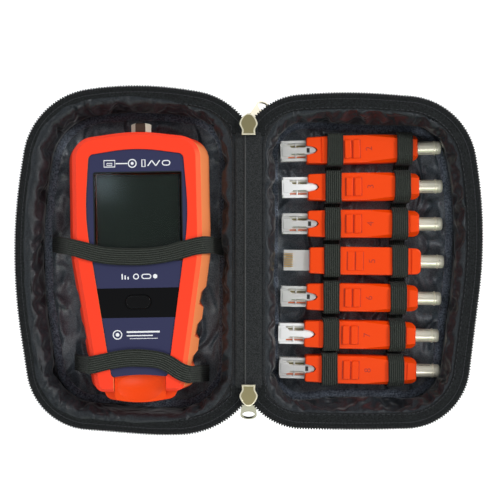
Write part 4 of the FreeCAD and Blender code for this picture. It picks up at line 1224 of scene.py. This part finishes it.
def area_light(name, position, target, size, energy, colour=(1, 1, 1), size_y=None):
    light = bpy.data.lights.new(name, "AREA")
    light.energy = energy
    light.color = colour
    light.size = size
    if size_y:
        light.shape = "RECTANGLE"
        light.size_y = size_y
    obj = linked(name, light)
    obj.location = position
    obj.rotation_euler = (Vector(target) - Vector(position)).to_track_quat("-Z", "Y").to_euler()


FLOOR_HALF, FLOOR_Z = 40, -0.0004  # metres
mesh = bpy.data.meshes.new("floor")
corners = rectangle(-FLOOR_HALF, FLOOR_HALF, -FLOOR_HALF, FLOOR_HALF)
mesh.from_pydata([(x, y, FLOOR_Z) for x, y in corners], [], [(0, 1, 2, 3)])
white = (0.9, 0.9, 0.9, 1)
mesh.materials.append(material("floor", white, 0.9, Emission_Color=(1, 1, 1, 1), Emission_Strength=0.8))
floor = linked("floor", mesh)

# brightness by how far up a direction looks, with a dark patch overhead so that flat tops don't glare
SKY = [(0.1, (0.62, 0.63, 0.65, 1)), (0.95, (0.78, 0.79, 0.82, 1)), (0.988, (0.1, 0.1, 0.1, 1))]
world = bpy.data.worlds.new("studio")
world.use_nodes = True
direction = node(world, "ShaderNodeTexCoord")
split = node(world, "ShaderNodeSeparateXYZ")
ramp = node(world, "ShaderNodeValToRGB")
tilt = node(world, "ShaderNodeMath", operation="MULTIPLY_ADD")
tilt.inputs[1].default_value, tilt.inputs[2].default_value = 0.05, 0.72
stops = ramp.color_ramp.elements
for position, colour in SKY:
    stops.new(position).color = colour
stops.remove(stops[0])
stops.remove(stops[-1])
background = world.node_tree.nodes["Background"]
for source, target in ((direction.outputs["Generated"], split.inputs[0]),
                       (split.outputs["Z"], ramp.inputs["Fac"]), (split.outputs["Y"], tilt.inputs[0]),
                       (ramp.outputs["Color"], background.inputs["Color"]),
                       (tilt.outputs[0], background.inputs["Strength"])):
    world.node_tree.links.new(source, target)
bpy.context.scene.world = world

area_light("key", (1.0, 0.42, 0.82), (0, 0, 0), 0.4, 10.5)
area_light("high", (0.1, -0.7, 1.0), (0, 0, 0), 0.35, 3.6)
area_light("fill", (-1.0, 0.35, 0.7), (0, 0, 0), 0.6, 3.0)
area_light("window_glint", (-0.2535, 0.118, 1.25), (-0.08, 0.041, 0.039), 0.03, 0.012,
           (0.7, 0.88, 1.0), 0.046)
area_light("green_card", (0.07, -1.0, 0.62), (0.07, 0, 0.01), 0.9, 0.6, (0.45, 1.0, 0.12), 0.07)

camera_data = bpy.data.cameras.new("camera")
camera_data.sensor_width = 36
camera_data.lens = 74.3
camera = linked("camera", camera_data)
camera.location = (0.0008, 0.0055, 0.600)
camera.rotation_euler = (0, 0, 0)
bpy.context.scene.camera = camera

bpy.context.scene.view_settings.view_transform = "Standard"
